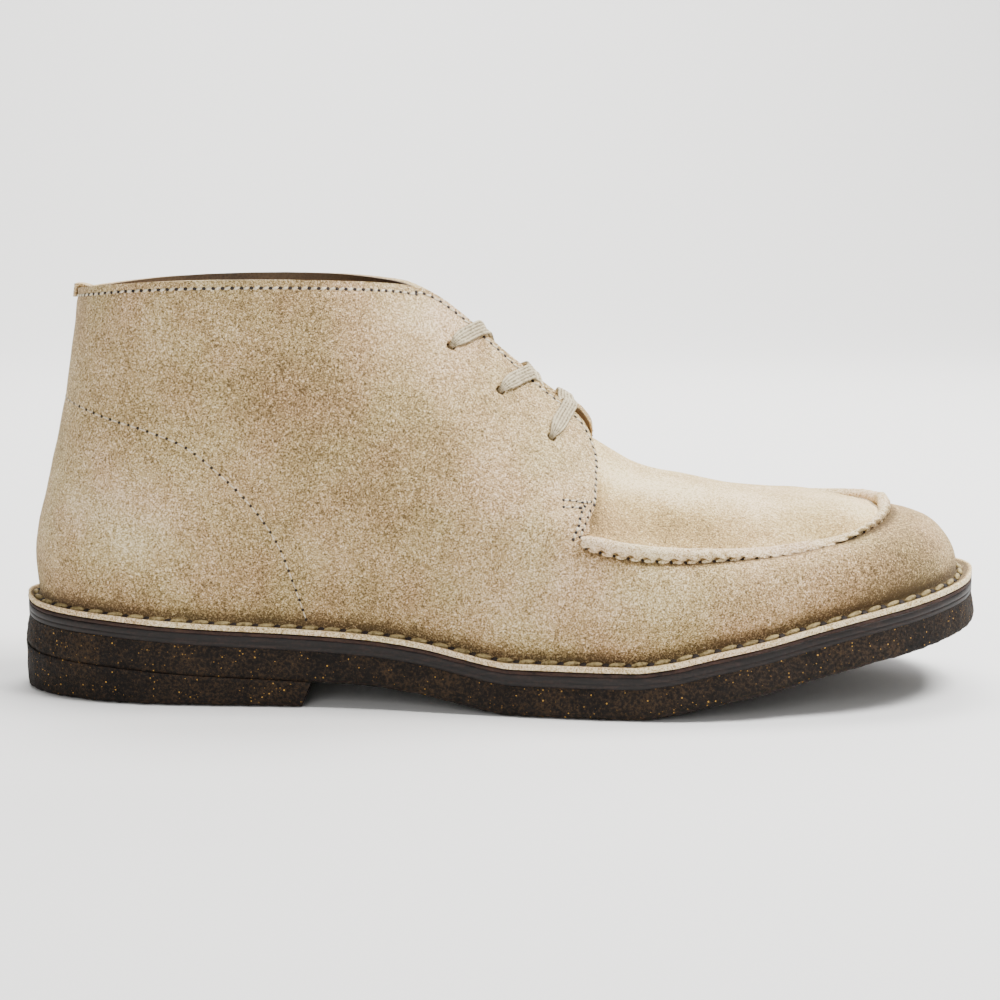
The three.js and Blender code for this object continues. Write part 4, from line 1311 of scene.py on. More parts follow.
@dataclass(frozen=True)
class Path:
    """Even places along a run on the leather, with the outward direction at each."""

    points: list[Vector]
    normals: list[Vector]

    @classmethod
    def evenly(cls, points: Sequence[Sequence[float]], normals: Sequence[Sequence[float]],
               pitch: float) -> "Path":
        """Spaces a run out evenly.

        Args:
            points: Dense points of the run.
            normals: Outward direction at each.
            pitch: Wanted distance from place to place.

        Returns:
            The path, with a whole number of steps.
        """
        line = np.array([tuple(point) for point in points])
        outward = np.array([tuple(normal) for normal in normals])
        ways = ways_along(line)
        count = max(2, round(ways[-1] / pitch))
        stops = np.linspace(0, ways[-1], count + 1)
        placed = np.stack([np.interp(stops, ways, line[:, axis]) for axis in range(3)], axis=1)
        turned = np.stack([np.interp(stops, ways, outward[:, axis]) for axis in range(3)], axis=1)
        return cls([Vector(point) for point in placed], [Vector(normal).normalized() for normal in turned])

    def onto(self, surface: BVHTree) -> "Path":
        """The same path, laid on a surface."""
        hits = [surface.find_nearest(point) for point in self.points]
        return Path([hit[0] for hit in hits], [hit[1] for hit in hits])

    def steps(self) -> Iterable[tuple[Vector, Vector, Vector]]:
        """Middle, direction and outward direction of each step."""
        for k in range(len(self.points) - 1):
            start, end = self.points[k], self.points[k + 1]
            yield (start + end) / 2, end - start, (self.normals[k] + self.normals[k + 1]).normalized()


@dataclass(frozen=True)
class StitchStyle:
    """Size and lie of one kind of stitch."""

    pitch: float
    length: float
    width: float
    height: float
    hole: float
    slant: float = 0.0
    sink: float = 0.1 * MM


SEAM_STITCH = StitchStyle(2.85 * MM, 1.9 * MM, 0.8 * MM, 0.6 * MM, 0.75 * MM, slant=0.35, sink=0.12 * MM)
COUNTER_STITCH = StitchStyle(3.3 * MM, 2.4 * MM, 0.46 * MM, 0.4 * MM, 0.62 * MM, sink=0.08 * MM)
TACK_STITCH = StitchStyle(2.3 * MM, 1.5 * MM, 0.8 * MM, 0.6 * MM, 0.68 * MM, slant=0.35, sink=0.12 * MM)
APRON_STITCH = StitchStyle(4.3 * MM, 3.3 * MM, 1.3 * MM, 1.1 * MM, 0.8 * MM, slant=0.12)
PLUG_EDGE_STITCH = StitchStyle(2.1 * MM, 1.3 * MM, 0.55 * MM, 0.45 * MM, 0.46 * MM, slant=0.3)
SOLE_STITCH = StitchStyle(6.7 * MM, 5.1 * MM, 1.8 * MM, 1.6 * MM, 1.25 * MM, slant=0.16, sink=0.3 * MM)
# Rows on the boot's side, as X and Z in millimetres from one end to the other.
COUNTER_ROW = ((-31.5, 92.8), (-30.5, 92.3), (-24, 90.3), (-15.7, 87.6), (1.2, 83), (10.6, 79.5),
               (22.7, 70.3), (31.6, 61.4), (39, 50.4), (43.1, 39.6), (47.2, 26.3))
TACK_ROWS = (
    ((125, 63.8), (129, 63.4), (133.4, 62.9)),
    ((125, 62), (127.5, 61.9), (130, 61.8)),
    ((131.2, 62.2), (129.4, 57.4), (127.6, 53.2)),
    ((133, 60.6), (131.4, 57), (129.8, 53.9)),
)


Row = tuple[Path, StitchStyle]


@dataclass
class Needlework:
    """Rows of thread, and dark marks of painted shade at the needle holes, gathered into a few joined meshes.
    """

    last: Last
    wardrobe: Wardrobe

    def sew(self, name: str, rows: Sequence[Row], thread: Material) -> None:
        """Adds the thread of some rows of stitches, and dark sunk marks of painted shade at their needle
        holes, as two pieces.

        Args:
            name: Name of the seam.
            rows: Each row's path and the kind of stitch on it.
            thread: What the thread is made of.
        """
        threads, holes = bmesh.new(), bmesh.new()
        for path, style in rows:
            for middle, along, normal in path.steps():
                across = normal.cross(along).normalized()
                leaned = along.normalized() + across * style.slant
                sizes = (style.length / 2, style.width / 2, style.height / 2)
                place = middle + normal * (style.height * 0.3 - style.sink)
                bmesh.ops.create_uvsphere(threads, u_segments=8, v_segments=6, radius=1,
                                          matrix=frame_matrix(place, leaned, normal, sizes))
            # Dark sunk discs at each needle hole: painted shade in the hole.
            for place, normal in zip(path.points, path.normals):
                along = normal.orthogonal()
                sizes = (style.hole, style.hole, style.hole * 0.4)
                sunk = frame_matrix(place - normal * style.hole * 0.2, along, normal, sizes)
                bmesh.ops.create_uvsphere(holes, u_segments=8, v_segments=4, radius=1, matrix=sunk)
        add_piece(f"{name}_thread", threads, thread)
        add_piece(f"{name}_holes", holes, self.wardrobe.hole)

    def below_edge(self, start: float, end: float, distance: float, pitch: float) -> Path:
        """A row that follows the upper's top edge.

        Args:
            start: Place round the last where it starts.
            end: Place where it ends.
            distance: How far below the edge it runs.
            pitch: Length of a stitch and its gap.

        Returns:
            The row's path.
        """
        places = np.linspace(start, end, 240)
        rows = np.array([self.last.row_below_edge(at, distance) for at in places])
        points = self.last.rib(places, rows)
        return Path.evenly(points, np.zeros_like(points) + (0, 0, 1), pitch)

    @staticmethod
    def across_side(surface: BVHTree, side: int, places: Sequence[tuple[float, float]],
                    pitch: float) -> Path:
        """A row drawn on the boot's side.

        Args:
            surface: Outside of the upper.
            side: Lateral or medial.
            places: X and Z of a few points of the row, in millimetres, on the lateral side.
            pitch: Length of a stitch and its gap.

        Returns:
            The row's path.
        """
        knots = np.array(places) * MM
        ways = ways_along(knots)
        dense = curve_values(ways, knots, np.linspace(0, ways[-1], 120))
        points, normals = [], []
        for x, z in dense:
            far = Vector((x, -side * 0.2, z))
            hit, normal, _, _ = surface.ray_cast(far, Vector((0, side, 0)))
            if hit is not None:
                points.append(hit)
                normals.append(normal)
        return Path.evenly(points, normals, pitch)


@dataclass
class Eyelet:
    """A punched hole of the facings."""

    side: int
    at: float
    row: float
    point: Vector
    normal: Vector


@dataclass
class Upper:
    """Suede outside, lining, plug, apron seam and back tab."""

    last: Last
    wardrobe: Wardrobe
    suede: float = 1.6 * MM
    lining: float = 0.6 * MM
    plug: float = 1.5 * MM
    plug_tuck: float = 0.8 * MM
    cut_edge: float = 0.45 * MM
    bore: float = 3.2 * MM
    setbacks: tuple[float, ...] = (18 * MM, 16 * MM, 15.1 * MM)
    bead_width: float = 3.8 * MM
    bead_height: float = 4.8 * MM
    pucker: float = 4.3 * MM
    eyelet_feet: tuple[float, ...] = (0.541, 0.498, 0.452)
    pale_edge: float = 0.3
    plug_surface: BVHTree | None = None

    def eyelets(self) -> list[list[Eyelet]]:
        """Pairs of holes, lateral and medial, from the bottom pair to the top pair.

        Returns:
            The pairs.
        """
        pairs = []
        for foot, setback in zip(self.eyelet_feet, self.setbacks):
            pair = []
            for side in (LATERAL, MEDIAL):
                at = side * self.last.rib_at(foot)
                row = self.last.row_below_edge(at, setback)
                point = Vector(self.last.rib(at, row)[0])
                pair.append(Eyelet(side, at, row, point, self.last.rib_normal(at, row)))
            pairs.append(pair)
        return pairs

    def punches(self) -> list[Object]:
        """One cutter for each eyelet.

        Returns:
            The cutters.
        """
        cutters = []
        for pair in self.eyelets():
            for eyelet in pair:
                punch = bmesh.new()
                turn = eyelet.normal.to_track_quat("Z", "Y").to_matrix().to_4x4()
                bmesh.ops.create_cone(punch, cap_ends=True, segments=28, radius1=self.bore / 2,
                                      radius2=self.bore / 2, depth=9 * MM,
                                      matrix=Matrix.Translation(eyelet.point) @ turn)
                mesh = bpy.data.meshes.new("punch")
                punch.to_mesh(mesh)
                punch.free()
                cutter = bpy.data.objects.new("punch", mesh)
                bpy.context.scene.collection.objects.link(cutter)
                cutters.append(cutter)
        return cutters

    def shell(self, columns: int, fore_columns: int, foot_rows: Sequence[float], low_rows: int,
              high_rows: int) -> BMesh:
        """Outside of the side wall and quarter as one sheet.

        Args:
            columns: Quads round the quarter.
            fore_columns: Quads on each side from the apron's start to the toe.
            foot_rows: Rows below the side wall.
            low_rows: Quads up the side wall.
            high_rows: Quads up the quarter, closer towards its edge.

        Returns:
            The sheet.
        """
        low = np.concatenate([foot_rows, np.linspace(0.1, 3, low_rows + 1)])
        high = 5 - 2 * np.linspace(1, 0, high_rows + 1)[1:] ** 1.6
        start = self.last.apron_at
        half = self.last.rib_places(0, start, columns // 2, 5)
        quarter = np.concatenate([-half[:0:-1], half])
        fore = self.last.rib_places(start, 1, fore_columns, 3)
        sheets = []
        for places, rows in ((quarter, np.concatenate([low, high])), (fore, low), (-fore[::-1], low)):
            at, row = np.meshgrid(places, rows, indexing="ij")
            points = self.last.skin(at.ravel(), row.ravel()).reshape(len(places), len(rows), 3)
            sheets.append(sheet_of(points))
        return merged(sheets)

    def soften(self, sheet: BMesh) -> None:
        """Presses the creases and the leather's own unevenness into a sheet, and paints shade low on the
        wall, patches of painted light and shade, and the lip's pale cut edge.

        Args:
            sheet: The side wall and quarter.
        """
        points = np.array([corner.co for corner in sheet.verts])
        amounts = np.array(lumps(sheet, 24 * MM, 0.35 * MM, 3))
        amounts += np.array(lumps(sheet, 7 * MM, 0.1 * MM, 8))
        for crease in SIDE_CREASES:
            amounts -= crease.depths(points)
        risen = points[:, 2] - self.last.seat(points[:, 0])
        amounts *= smooth_share(risen, 1 * MM, 7 * MM)
        push(sheet, amounts)
        # Painted shade, darkest in the groove just above the flange and fading up the wall, and the patches
        # of painted light and shade.
        wear_and_painted_light = 0.2 * smooth_share(risen, 30 * MM, -2 * MM) + 0.5 * smooth_share(risen, 6 * MM, 0)
        for patch in SIDE_PAINTED_LIGHT:
            wear_and_painted_light += patch.tones(points[:, 0], points[:, 2])
        # The lip keeps its own pale cut edge and no painted shade.
        to_edge = np.linalg.norm(points[:, :2] - self.last.nearest_lip(points), axis=1)
        lip = smooth_share(to_edge, 1.5 * MM, 0.3 * MM) * (risen < 1 * MM)
        paint_light_and_edge_tone(sheet, wear_and_painted_light * (1 - lip) - self.pale_edge * lip)

    def seam_rows(self, needlework: Needlework, surface: BVHTree) -> dict[str, list[Row]]:
        """Collar, facing, counter and tack rows of both sides.

        Args:
            needlework: What makes the rows.
            surface: Outside of the leather before the rows pull it in.

        Returns:
            Rows by name of the seam.
        """
        facing = self.last.rib_at(0.579)
        collar = self.last.rib_at(0.42)
        edge = [(needlework.below_edge(-collar, collar, 2.4 * MM, SEAM_STITCH.pitch), SEAM_STITCH)]
        counter, tacks = [], []
        for side in (LATERAL, MEDIAL):
            front = needlework.below_edge(side * collar, side * facing, 1.6 * MM, SEAM_STITCH.pitch)
            edge.append((front, SEAM_STITCH))
            seam = needlework.across_side(surface, side, COUNTER_ROW, COUNTER_STITCH.pitch)
            counter.append((seam, COUNTER_STITCH))
            for row in TACK_ROWS:
                tack = needlework.across_side(surface, side, row, TACK_STITCH.pitch)
                tacks.append((tack, TACK_STITCH))
        apron = [(self.beside_bead(0.5, 0.44), APRON_STITCH)]
        return {"collar": edge, "counter": counter, "tacks": tacks, "apron": apron}

    def beside_bead(self, out: float, tucked: float) -> Path:
        """A line on the side wall along the apron seam.

        Args:
            out: How far it lies from the seam, in widths of the bead.
            tucked: How much less that is round the toe.

        Returns:
            The line, from the lateral start of the seam round the toe.
        """
        ways = np.linspace(self.last.apron_at + 0.004, 2 - self.last.apron_at - 0.004, 600)
        at = np.where(ways <= 1, ways, ways - 2)
        below = np.linalg.norm(self.last.waist(at) - self.last.rib(at, np.full_like(at, 2.8)), axis=1) / 0.2
        share = out - tucked * smooth_share(1 - np.abs(at), 0.3, 0.14)
        low = self.last.rib(at, 3 - self.bead_width * share / below)
        return Path.evenly(low, np.zeros_like(low) + (0, 0, 1), APRON_STITCH.pitch)

    @staticmethod
    def nearness(sheet: BMesh, rows: Iterable[Row], reach: float) -> list[float]:
        """How near each corner of a sheet lies to rows of stitches, from 0 to 1.

        Args:
            sheet: The leather.
            rows: The rows.
            reach: Distance over which it falls off.

        Returns:
            One share for each corner.
        """
        places = []
        for path, _ in rows:
            for first, second in zip(path.points, path.points[1:]):
                places += [first, first.lerp(second, 0.5)]
        tree = search_tree(places)
        return [math.exp(-(tree.find(corner.co)[2] / reach) ** 2) for corner in sheet.verts]

    def pull_in(self, sheet: BMesh, rows: Iterable[Row], reach: float,
                depth: float) -> None:
        """Presses a soft groove of half a width and a depth along rows of stitches."""
        push(sheet, [-depth * share for share in self.nearness(sheet, rows, reach)])

    def paint_shadow_along(self, sheet: BMesh, rows: Iterable[Row], reach: float,
               amount: float) -> None:
        """Paints shadow onto the leather along rows of stitches."""
        painted_light_and_pale_edge = sheet.verts.layers.float["painted_light_and_pale_edge"]
        for corner, share in zip(sheet.verts, self.nearness(sheet, rows, reach)):
            corner[painted_light_and_pale_edge] += amount * share

    def side_and_quarter(self, cutters: Sequence[Object], needlework: Needlework) -> None:
        """The suede from the flange to the collar, all round the boot, and its seams.

        Args:
            cutters: Punches for the eyelets.
            needlework: What sews it.
        """
        foot = (-2, -1.8, -1.6, -1.4, -1.2, -1, -0.8, -0.6, -0.4, -0.2, -0.05)
        sheet = self.shell(308, 120, foot, 38, 56)
        self.soften(sheet)
        seams = self.seam_rows(needlework, BVHTree.FromBMesh(sheet))
        self.pull_in(sheet, [*seams["collar"], *seams["tacks"]], 1.2 * MM, 0.3 * MM)
        self.pull_in(sheet, seams["counter"], 1.6 * MM, 0.2 * MM)
        down = self.last.rib(np.zeros(40), np.linspace(5, 3.9, 40))
        back = Path.evenly(down, np.zeros_like(down) + (-1, 0, 0), 1 * MM)
        self.pull_in(sheet, [(back, COUNTER_STITCH)], 1.1 * MM, 0.6 * MM)
        self.pull_in(sheet, seams["apron"], 1.3 * MM, 0.8 * MM)
        # Painted shadow in a line under the apron bead.
        self.paint_shadow_along(sheet, [(self.beside_bead(0.6, 0.08), APRON_STITCH)], 1.2 * MM, 1.0)
        surface = BVHTree.FromBMesh(sheet)
        for name, rows in seams.items():
            thread = self.wardrobe.seam if name == "apron" else self.wardrobe.thread
            needlework.sew(name, [(path.onto(surface), style) for path, style in rows], thread)
        piece = add_piece("suede_side_and_quarter", sheet, self.wardrobe.suede, ["upper"])
        give_wall(piece, self.suede, self.cut_edge, cutters)

    def shaft_lining(self, cutters: Sequence[Object]) -> None:
        """The leather inside the side wall and quarter.

        Args:
            cutters: Punches for the eyelets.
        """
        sheet = self.shell(180, 60, (0.02,), 20, 34)
        push(sheet, [-self.suede - 0.02 * MM] * len(sheet.verts))
        piece = add_piece("shaft_lining", sheet, self.wardrobe.lining)
        give_wall(piece, self.lining, 0.15 * MM, cutters)

    def plug_points(self, columns: int, rows: int, sink: float = 0) -> np.ndarray:
        """Outside of the plug, from the lateral apron seam over the crest to the medial one.

        Args:
            columns: Steps along the plug.
            rows: Steps across each half.
            sink: How far it is lowered.

        Returns:
            Corners as columns by rows by 3.
        """
        places = np.linspace(self.last.crest_places[0], 1, 401)
        crest, crown = self.last.crest(places)
        lengths = [np.linalg.norm(np.diff(line, axis=0), axis=1) for line in (crest, self.last.waist(places))]
        ways = np.concatenate([[0], np.cumsum(lengths[0] + lengths[1])])
        places = np.interp(np.linspace(0, ways[-1], columns + 1), ways, places)
        crest, crown = self.last.crest(places)
        halves = []
        for side in (LATERAL, MEDIAL):
            edge = self.last.waist(side * places)
            inward = crest - edge
            inward[:, 2] = 0
            inward /= np.linalg.norm(inward, axis=1)[:, None] + 1e-12
            edge = edge + inward * self.plug_tuck
            edge[:, 2] -= self.plug_tuck
            middle = edge[:, 2] + (crest[:, 2] - edge[:, 2]) * crown
            shares = np.linspace(0, 1, rows + 1)
            columns_of = []
            for k in range(len(places)):
                heights = np.array([edge[k, 2], middle[k], crest[k, 2], middle[k]])[:, None]
                height = curve_values(np.array([0, 0.5, 1, 1.5]), heights, shares)[:, 0]
                flat = edge[k, :2] + (crest[k, :2] - edge[k, :2]) * shares[:, None]
                columns_of.append(np.column_stack([flat, height]))
            halves.append(np.array(columns_of))
        points = np.concatenate([halves[0], halves[1][:, -2::-1]], axis=1)
        points[:, :, 2] -= sink
        return points

    def vamp_plug(self) -> None:
        """The top of the vamp inside the apron, and its lining."""
        sheet = sheet_of(self.plug_points(150, 44), close=True)
        points = np.array([corner.co for corner in sheet.verts])
        amounts = np.array(lumps(sheet, 20 * MM, 0.3 * MM, 5))
        for crease in PLUG_CREASES:
            amounts -= crease.depths(points)
        push(sheet, amounts)
        # Patches of painted highlight and painted shade on the plug.
        paint_light_and_edge_tone(sheet, sum(patch.tones(points[:, 0], points[:, 1]) for patch in PLUG_PAINTED_LIGHT))
        self.plug_surface = BVHTree.FromBMesh(sheet)
        piece = add_piece("vamp_plug", sheet, self.wardrobe.plug)
        give_wall(piece, self.plug, 0.2 * MM)
        under = sheet_of(self.plug_points(60, 16), close=True)
        push(under, [-self.plug - 0.05 * MM] * len(under.verts))
        lining = add_piece("vamp_lining", under, self.wardrobe.lining)
        give_wall(lining, 0.5 * MM, 0.1 * MM)

    def apron_run(self, steps: int) -> tuple[np.ndarray, np.ndarray, np.ndarray]:
        """Points, outward directions and ways of the apron seam, from its lateral start round the toe.

        Args:
            steps: Even steps along it.

        Returns:
            The three, one row for each place.
        """
        start = self.last.apron_at
        way = np.linspace(start, 2 - start, steps * 3)
        at = np.where(way <= 1, way, way - 2)
        points = self.last.waist(at)
        crest, _ = self.last.crest(at)
        up = points - self.last.shoulder(at)
        up = unit_rows(up)
        inward = crest - points
        inward = unit_rows(inward)
        normals = up - inward
        normals = unit_rows(normals)
        span = 1 - start
        settle = smooth_share(span - np.abs(way - 1), 0, span * 0.06)
        ways = ways_along(points)
        stand = self.bead_height * (0.26 * settle - 0.02 * (1 - settle))
        points = points + normals * stand[:, None]
        even = np.linspace(0, ways[-1], steps + 1)
        points, normals = (np.stack([np.interp(even, ways, part[:, axis]) for axis in range(3)], axis=1)
                           for part in (points, normals))
        normals = unit_rows(normals)
        return points, normals, even

    def apron_seam(self, needlework: Needlework) -> None:
        """The rolled seam of side wall and plug, with its puckers, stitches and dark marks of painted shade
        at their needle holes.

        Args:
            needlework: What sews it.
        """
        points, normals, ways = self.apron_run(620)
        tangents = np.gradient(points, axis=0)
        tangents = unit_rows(tangents)
        across = np.cross(tangents, normals)
        across = unit_rows(across)
        turns = np.linspace(0, 2 * np.pi, 21)
        outer = np.clip(np.cos(turns) * 0.75 - np.sin(turns) * 0.6, 0, 1)
        swell = 1 + 0.26 * np.cos(2 * np.pi * ways / self.pucker)[:, None] * outer[None, :]
        ends = smooth_share(np.minimum(ways, ways[-1] - ways), -1 * MM, 2 * MM)[:, None]
        size = swell * (0.55 + 0.45 * ends)
        wide = np.cos(turns)[None, :] * self.bead_width / 2 * size
        high = np.sin(turns)[None, :] * self.bead_height / 2 * size
        rings = points[:, None] + across[:, None] * wide[..., None] + normals[:, None] * high[..., None]
        sheet = sheet_of(rings, close=True)
        close_ends(sheet)
        push(sheet, lumps(sheet, 2.2 * MM, 0.12 * MM, 2))
        add_piece("apron_seam", sheet, self.wardrobe.seam)
        inside = slice(8, -8)
        inner = (points - across * self.bead_width * 0.72)[inside]
        row = Path.evenly(inner, normals[inside], PLUG_EDGE_STITCH.pitch).onto(self.plug_surface)
        needlework.sew("plug_edge", [(row, PLUG_EDGE_STITCH)], self.wardrobe.thread)

    def back_tab(self) -> None:
        """The small strip folded over the collar at the top of the back seam."""
        width, thickness, drop = 7 * MM, 1 * MM, 2.8 * MM
        top = Vector(self.last.top(0.0)[0])
        lower = Vector(self.last.rib(0.0, self.last.row_below_edge(0.0, drop))[0])
        down = (lower - top).normalized()
        outward = Vector((-1, 0, 0))
        outward = (outward - down * outward.dot(down)).normalized()
        clear = thickness + 0.08 * MM
        reach = self.last.wall / 2 + clear
        middle = top - outward * self.last.wall / 2
        path = [middle + outward * reach + down * drop]
        for turn in np.linspace(0, math.pi, 9):
            rise = clear + reach * 0.2 * math.sin(turn)
            path.append(middle + outward * reach * math.cos(turn) - down * rise)
        path.append(middle - outward * reach + down * drop)
        centre = np.array([tuple(point) for point in path])
        tangent = np.gradient(centre, axis=0)
        tangent /= np.linalg.norm(tangent, axis=1)[:, None]
        side = np.array([0, 1.0, 0])
        normal = np.cross(tangent, side)
        shares = np.linspace(-0.5, 0.5, 9)
        bow = (0.25 - shares**2) * 0.8 * MM
        points = (centre[:, None] + side * (shares * width)[None, :, None]
                  + normal[:, None] * bow[None, :, None])
        sheet = sheet_of(points)
        piece = add_piece("back_tab", sheet, self.wardrobe.seam)
        give_wall(piece, thickness, 0.25 * MM)


@dataclass
class Sole:
    """Crepe sole and heel, band, flange layer and insole."""

    last: Last
    wardrobe: Wardrobe
    edge_round: float = 1.8 * MM
    heel_edge: float = 0.35 * MM
    breast_lean: float = 3 * MM
    insole_thickness: float = 3 * MM
    suede: float = 1.6 * MM

    @staticmethod
    def shares(steps: int) -> np.ndarray:
        """Steps along one side of the outline, closer together at its two ends."""
        even = np.linspace(0, 1, steps + 1)
        return (even + (1 - np.cos(np.pi * even)) / 2) / 2

    def block(self, levels: Sequence[tuple[Inset, Height]], steps: int, across: int,
              reach: Sequence[float] | None = None) -> BMesh:
        """A closed piece that follows the sole.

        Args:
            levels: Inset and height of each ring, from the lowest to the highest.
            steps: Quads along the sole.
            across: Quads across its top and underside.
            reach: X of the front end at each level, or nothing where the piece goes round the toe.

        Returns:
            The piece.
        """
        sides: dict[int, list[np.ndarray]] = {LATERAL: [], MEDIAL: []}
        for level, (inset, height) in enumerate(levels):
            for side in (LATERAL, MEDIAL):
                end = 1.0 if reach is None else float(self.last.round_at(reach[level], side, inset))
                at = self.shares(steps) * end
                ring = self.last.outline(side * at, inset(at) if callable(inset) else inset)
                ring[:, 2] = height(ring[:, 0])
                sides[side].append(ring)
        lateral, medial = np.stack(sides[LATERAL], axis=1), np.stack(sides[MEDIAL], axis=1)
        shares = np.linspace(0, 1, across + 1)[1:-1][None, :, None]
        under = medial[:, :1] + (lateral[:, :1] - medial[:, :1]) * shares
        over = lateral[:, -1:] + (medial[:, -1:] - lateral[:, -1:]) * shares
        under[:, :, 2] = levels[0][1](under[:, :, 0].ravel()).reshape(under.shape[:2])
        over[:, :, 2] = levels[-1][1](over[:, :, 0].ravel()).reshape(over.shape[:2])
        section = np.concatenate([under, lateral, over, medial[:, ::-1], under[:, :1]], axis=1)
        shape = sheet_of(section, close=True)
        if reach is not None:
            bmesh.ops.holes_fill(shape, edges=[edge for edge in shape.edges if edge.is_boundary], sides=0)
        bmesh.ops.recalc_face_normals(shape, faces=shape.faces)
        return shape

    def outsole(self) -> None:
        """The crepe sheet from heel to toe, its lower edge sharp over the heel and round ahead of it."""
        last, edge, sharp = self.last, self.edge_round, self.heel_edge

        def ahead(at: np.ndarray) -> np.ndarray:
            """Radius of the lower edge, small over the heel and full ahead of it."""
            return sharp + (edge - sharp) * smooth_share(at, 0.31, 0.37)

        levels: list[tuple[Inset, Height]] = []
        for turn in np.linspace(0, math.pi / 2, 5)[:-1]:
            lifted = edge * (1 - math.cos(turn))
            levels.append((lambda at, turn=turn: ahead(at) * (1 - math.sin(turn)),
                           lambda x, lifted=lifted: last.bed(x) + lifted))
        for share in np.linspace(0, 1, 12):
            levels.append((last.side_flare * share, lambda x, share=share:
                           (last.bed(x) + edge) * (1 - share) + last.crepe_top(x) * share))
        shape = self.block(levels, 400, 26)
        self.roughen(shape, 1)
        add_piece("crepe_outsole", shape, self.wardrobe.crepe, ["outsole"])

    @staticmethod
    def roughen(shape: BMesh, seed: float) -> None:
        """Makes the sides and underside of a crepe piece lumpy, and nowhere lower or wider than it was.

        Args:
            shape: The piece.
            seed: Picks its lumps.
        """
        shape.normal_update()
        coarse, fine = lumps(shape, 3.4 * MM, 0.2 * MM, seed), lumps(shape, 1.3 * MM, 0.16 * MM, seed + 3)
        push(shape, [(a + b - 0.2 * MM) * (corner.normal.z < 0.5)
                     for a, b, corner in zip(coarse, fine, shape.verts)])
        for corner in shape.verts:
            corner.co.z = max(corner.co.z, 0.01 * MM)

    def heel(self) -> None:
        """The crepe heel with its leaning breast."""
        last = self.last
        breast = float(last.place_x(0)) + last.heel_length
        edge = self.edge_round
        levels, reach = [], []
        for turn in np.linspace(0, math.pi / 2, 5)[:-1]:
            rise = edge * (1 - math.cos(turn))
            levels.append((edge * (1 - math.sin(turn)), lambda x, rise=rise: np.full_like(x, rise)))
            reach.append(breast + self.breast_lean * rise / last.heel_lift)
        for share in np.linspace(0, 1, 6):
            levels.append((0.0, lambda x, share=share:
                           edge * (1 - share) + (last.bed(x) - 0.05 * MM) * share))
            lifted = edge / last.heel_lift
            reach.append(breast + self.breast_lean * (lifted + (1 - lifted) * share))
        shape = self.block(levels, 130, 22, reach)
        self.roughen(shape, 6)
        add_piece("crepe_heel", shape, self.wardrobe.crepe, ["heel"])

    def band(self) -> None:
        """The smooth band with the line of its two layers."""
        last = self.last
        levels = []
        for share, depth in ((0, 0.12), (0.06, 0), (0.3, -0.02), (0.4, 0), (0.44, 0.14), (0.48, 0),
                             (0.7, -0.03), (0.94, 0), (1, 0.12)):
            levels.append((last.side_flare + depth * MM, lambda x, share=share:
                           (last.crepe_top(x) + 0.02 * MM) * (1 - share) + last.band_top(x) * share))
        shape = self.block(levels, 320, 6)
        add_piece("midsole_band", shape, self.wardrobe.edge, ["midsole"])

    def flange_layer(self) -> None:
        """The thin turned-out lining between the suede flange and the band."""
        last = self.last
        places = np.concatenate([-self.shares(300)[:0:-1], self.shares(300)])
        rings = []
        for inset, lift in ((7, 0), (0.25, 0), (0.08, 0.15), (0.04, 0.55), (0.08, 0.95), (0.25, 1.08),
                            (7, 1.08), (7, 0)):
            ring = last.outline(places, last.side_flare + inset * MM)
            ring[:, 2] = last.band_top(ring[:, 0]) + lift * MM + 0.02 * MM
            rings.append(ring)
        shape = sheet_of(np.stack(rings, axis=1), close=True)
        bmesh.ops.recalc_face_normals(shape, faces=shape.faces)
        push(shape, lumps(shape, 2.5 * MM, 0.1 * MM, 7))
        add_piece("flange_layer", shape, self.wardrobe.layer)

    def insole(self) -> None:
        """The leather sock on the footbed, dished a little under heel and ball."""
        last = self.last
        levels: list[tuple[Inset, Height]] = []
        for inward, drop in ((0, self.insole_thickness), (0, 0.9 * MM), (0.25 * MM, 0.3 * MM), (0.8 * MM, 0)):
            levels.append((lambda at, inward=inward:
                           last.side_flare + last.reveal(at) + last.wall + 0.35 * MM + inward,
                           lambda x, drop=drop: last.flange_foot(x) + self.insole_thickness - drop))
        shape = self.block(levels, 160, 24)
        amounts = np.array(lumps(shape, 30 * MM, 0.3 * MM, 2))
        push(shape, np.minimum(amounts, 0))
        add_piece("sock_insole", shape, self.wardrobe.sock, ["insole"])

    def stitching(self, needlework: Needlework) -> None:
        """The heavy stitches that hold the flange down all round.

        Args:
            needlework: What sews them.
        """
        last = self.last
        places = np.concatenate([-self.shares(500)[:0:-1], self.shares(500)])
        line = last.outline(places, last.side_flare + last.reveal(places) - 1.3 * MM)
        line[:, 2] = last.seat(line[:, 0]) - last.groove + 0.25 * MM
        centre = last.feather(places)
        outward = line - centre
        outward[:, 2] = 0
        outward = unit_rows(outward)
        normals = outward * 0.5 + np.array([0, 0, 0.85])
        row = Path.evenly(line, normals, SOLE_STITCH.pitch)
        needlework.sew("flange", [(row, SOLE_STITCH)], self.wardrobe.welt_thread)


@dataclass(frozen=True)
class Stop:
    """A place on the lace's way: where it is, which way its flat side faces, and its section."""

    point: Vector
    normal: Vector
    width: float = 5 * MM
    thickness: float = 1.2 * MM


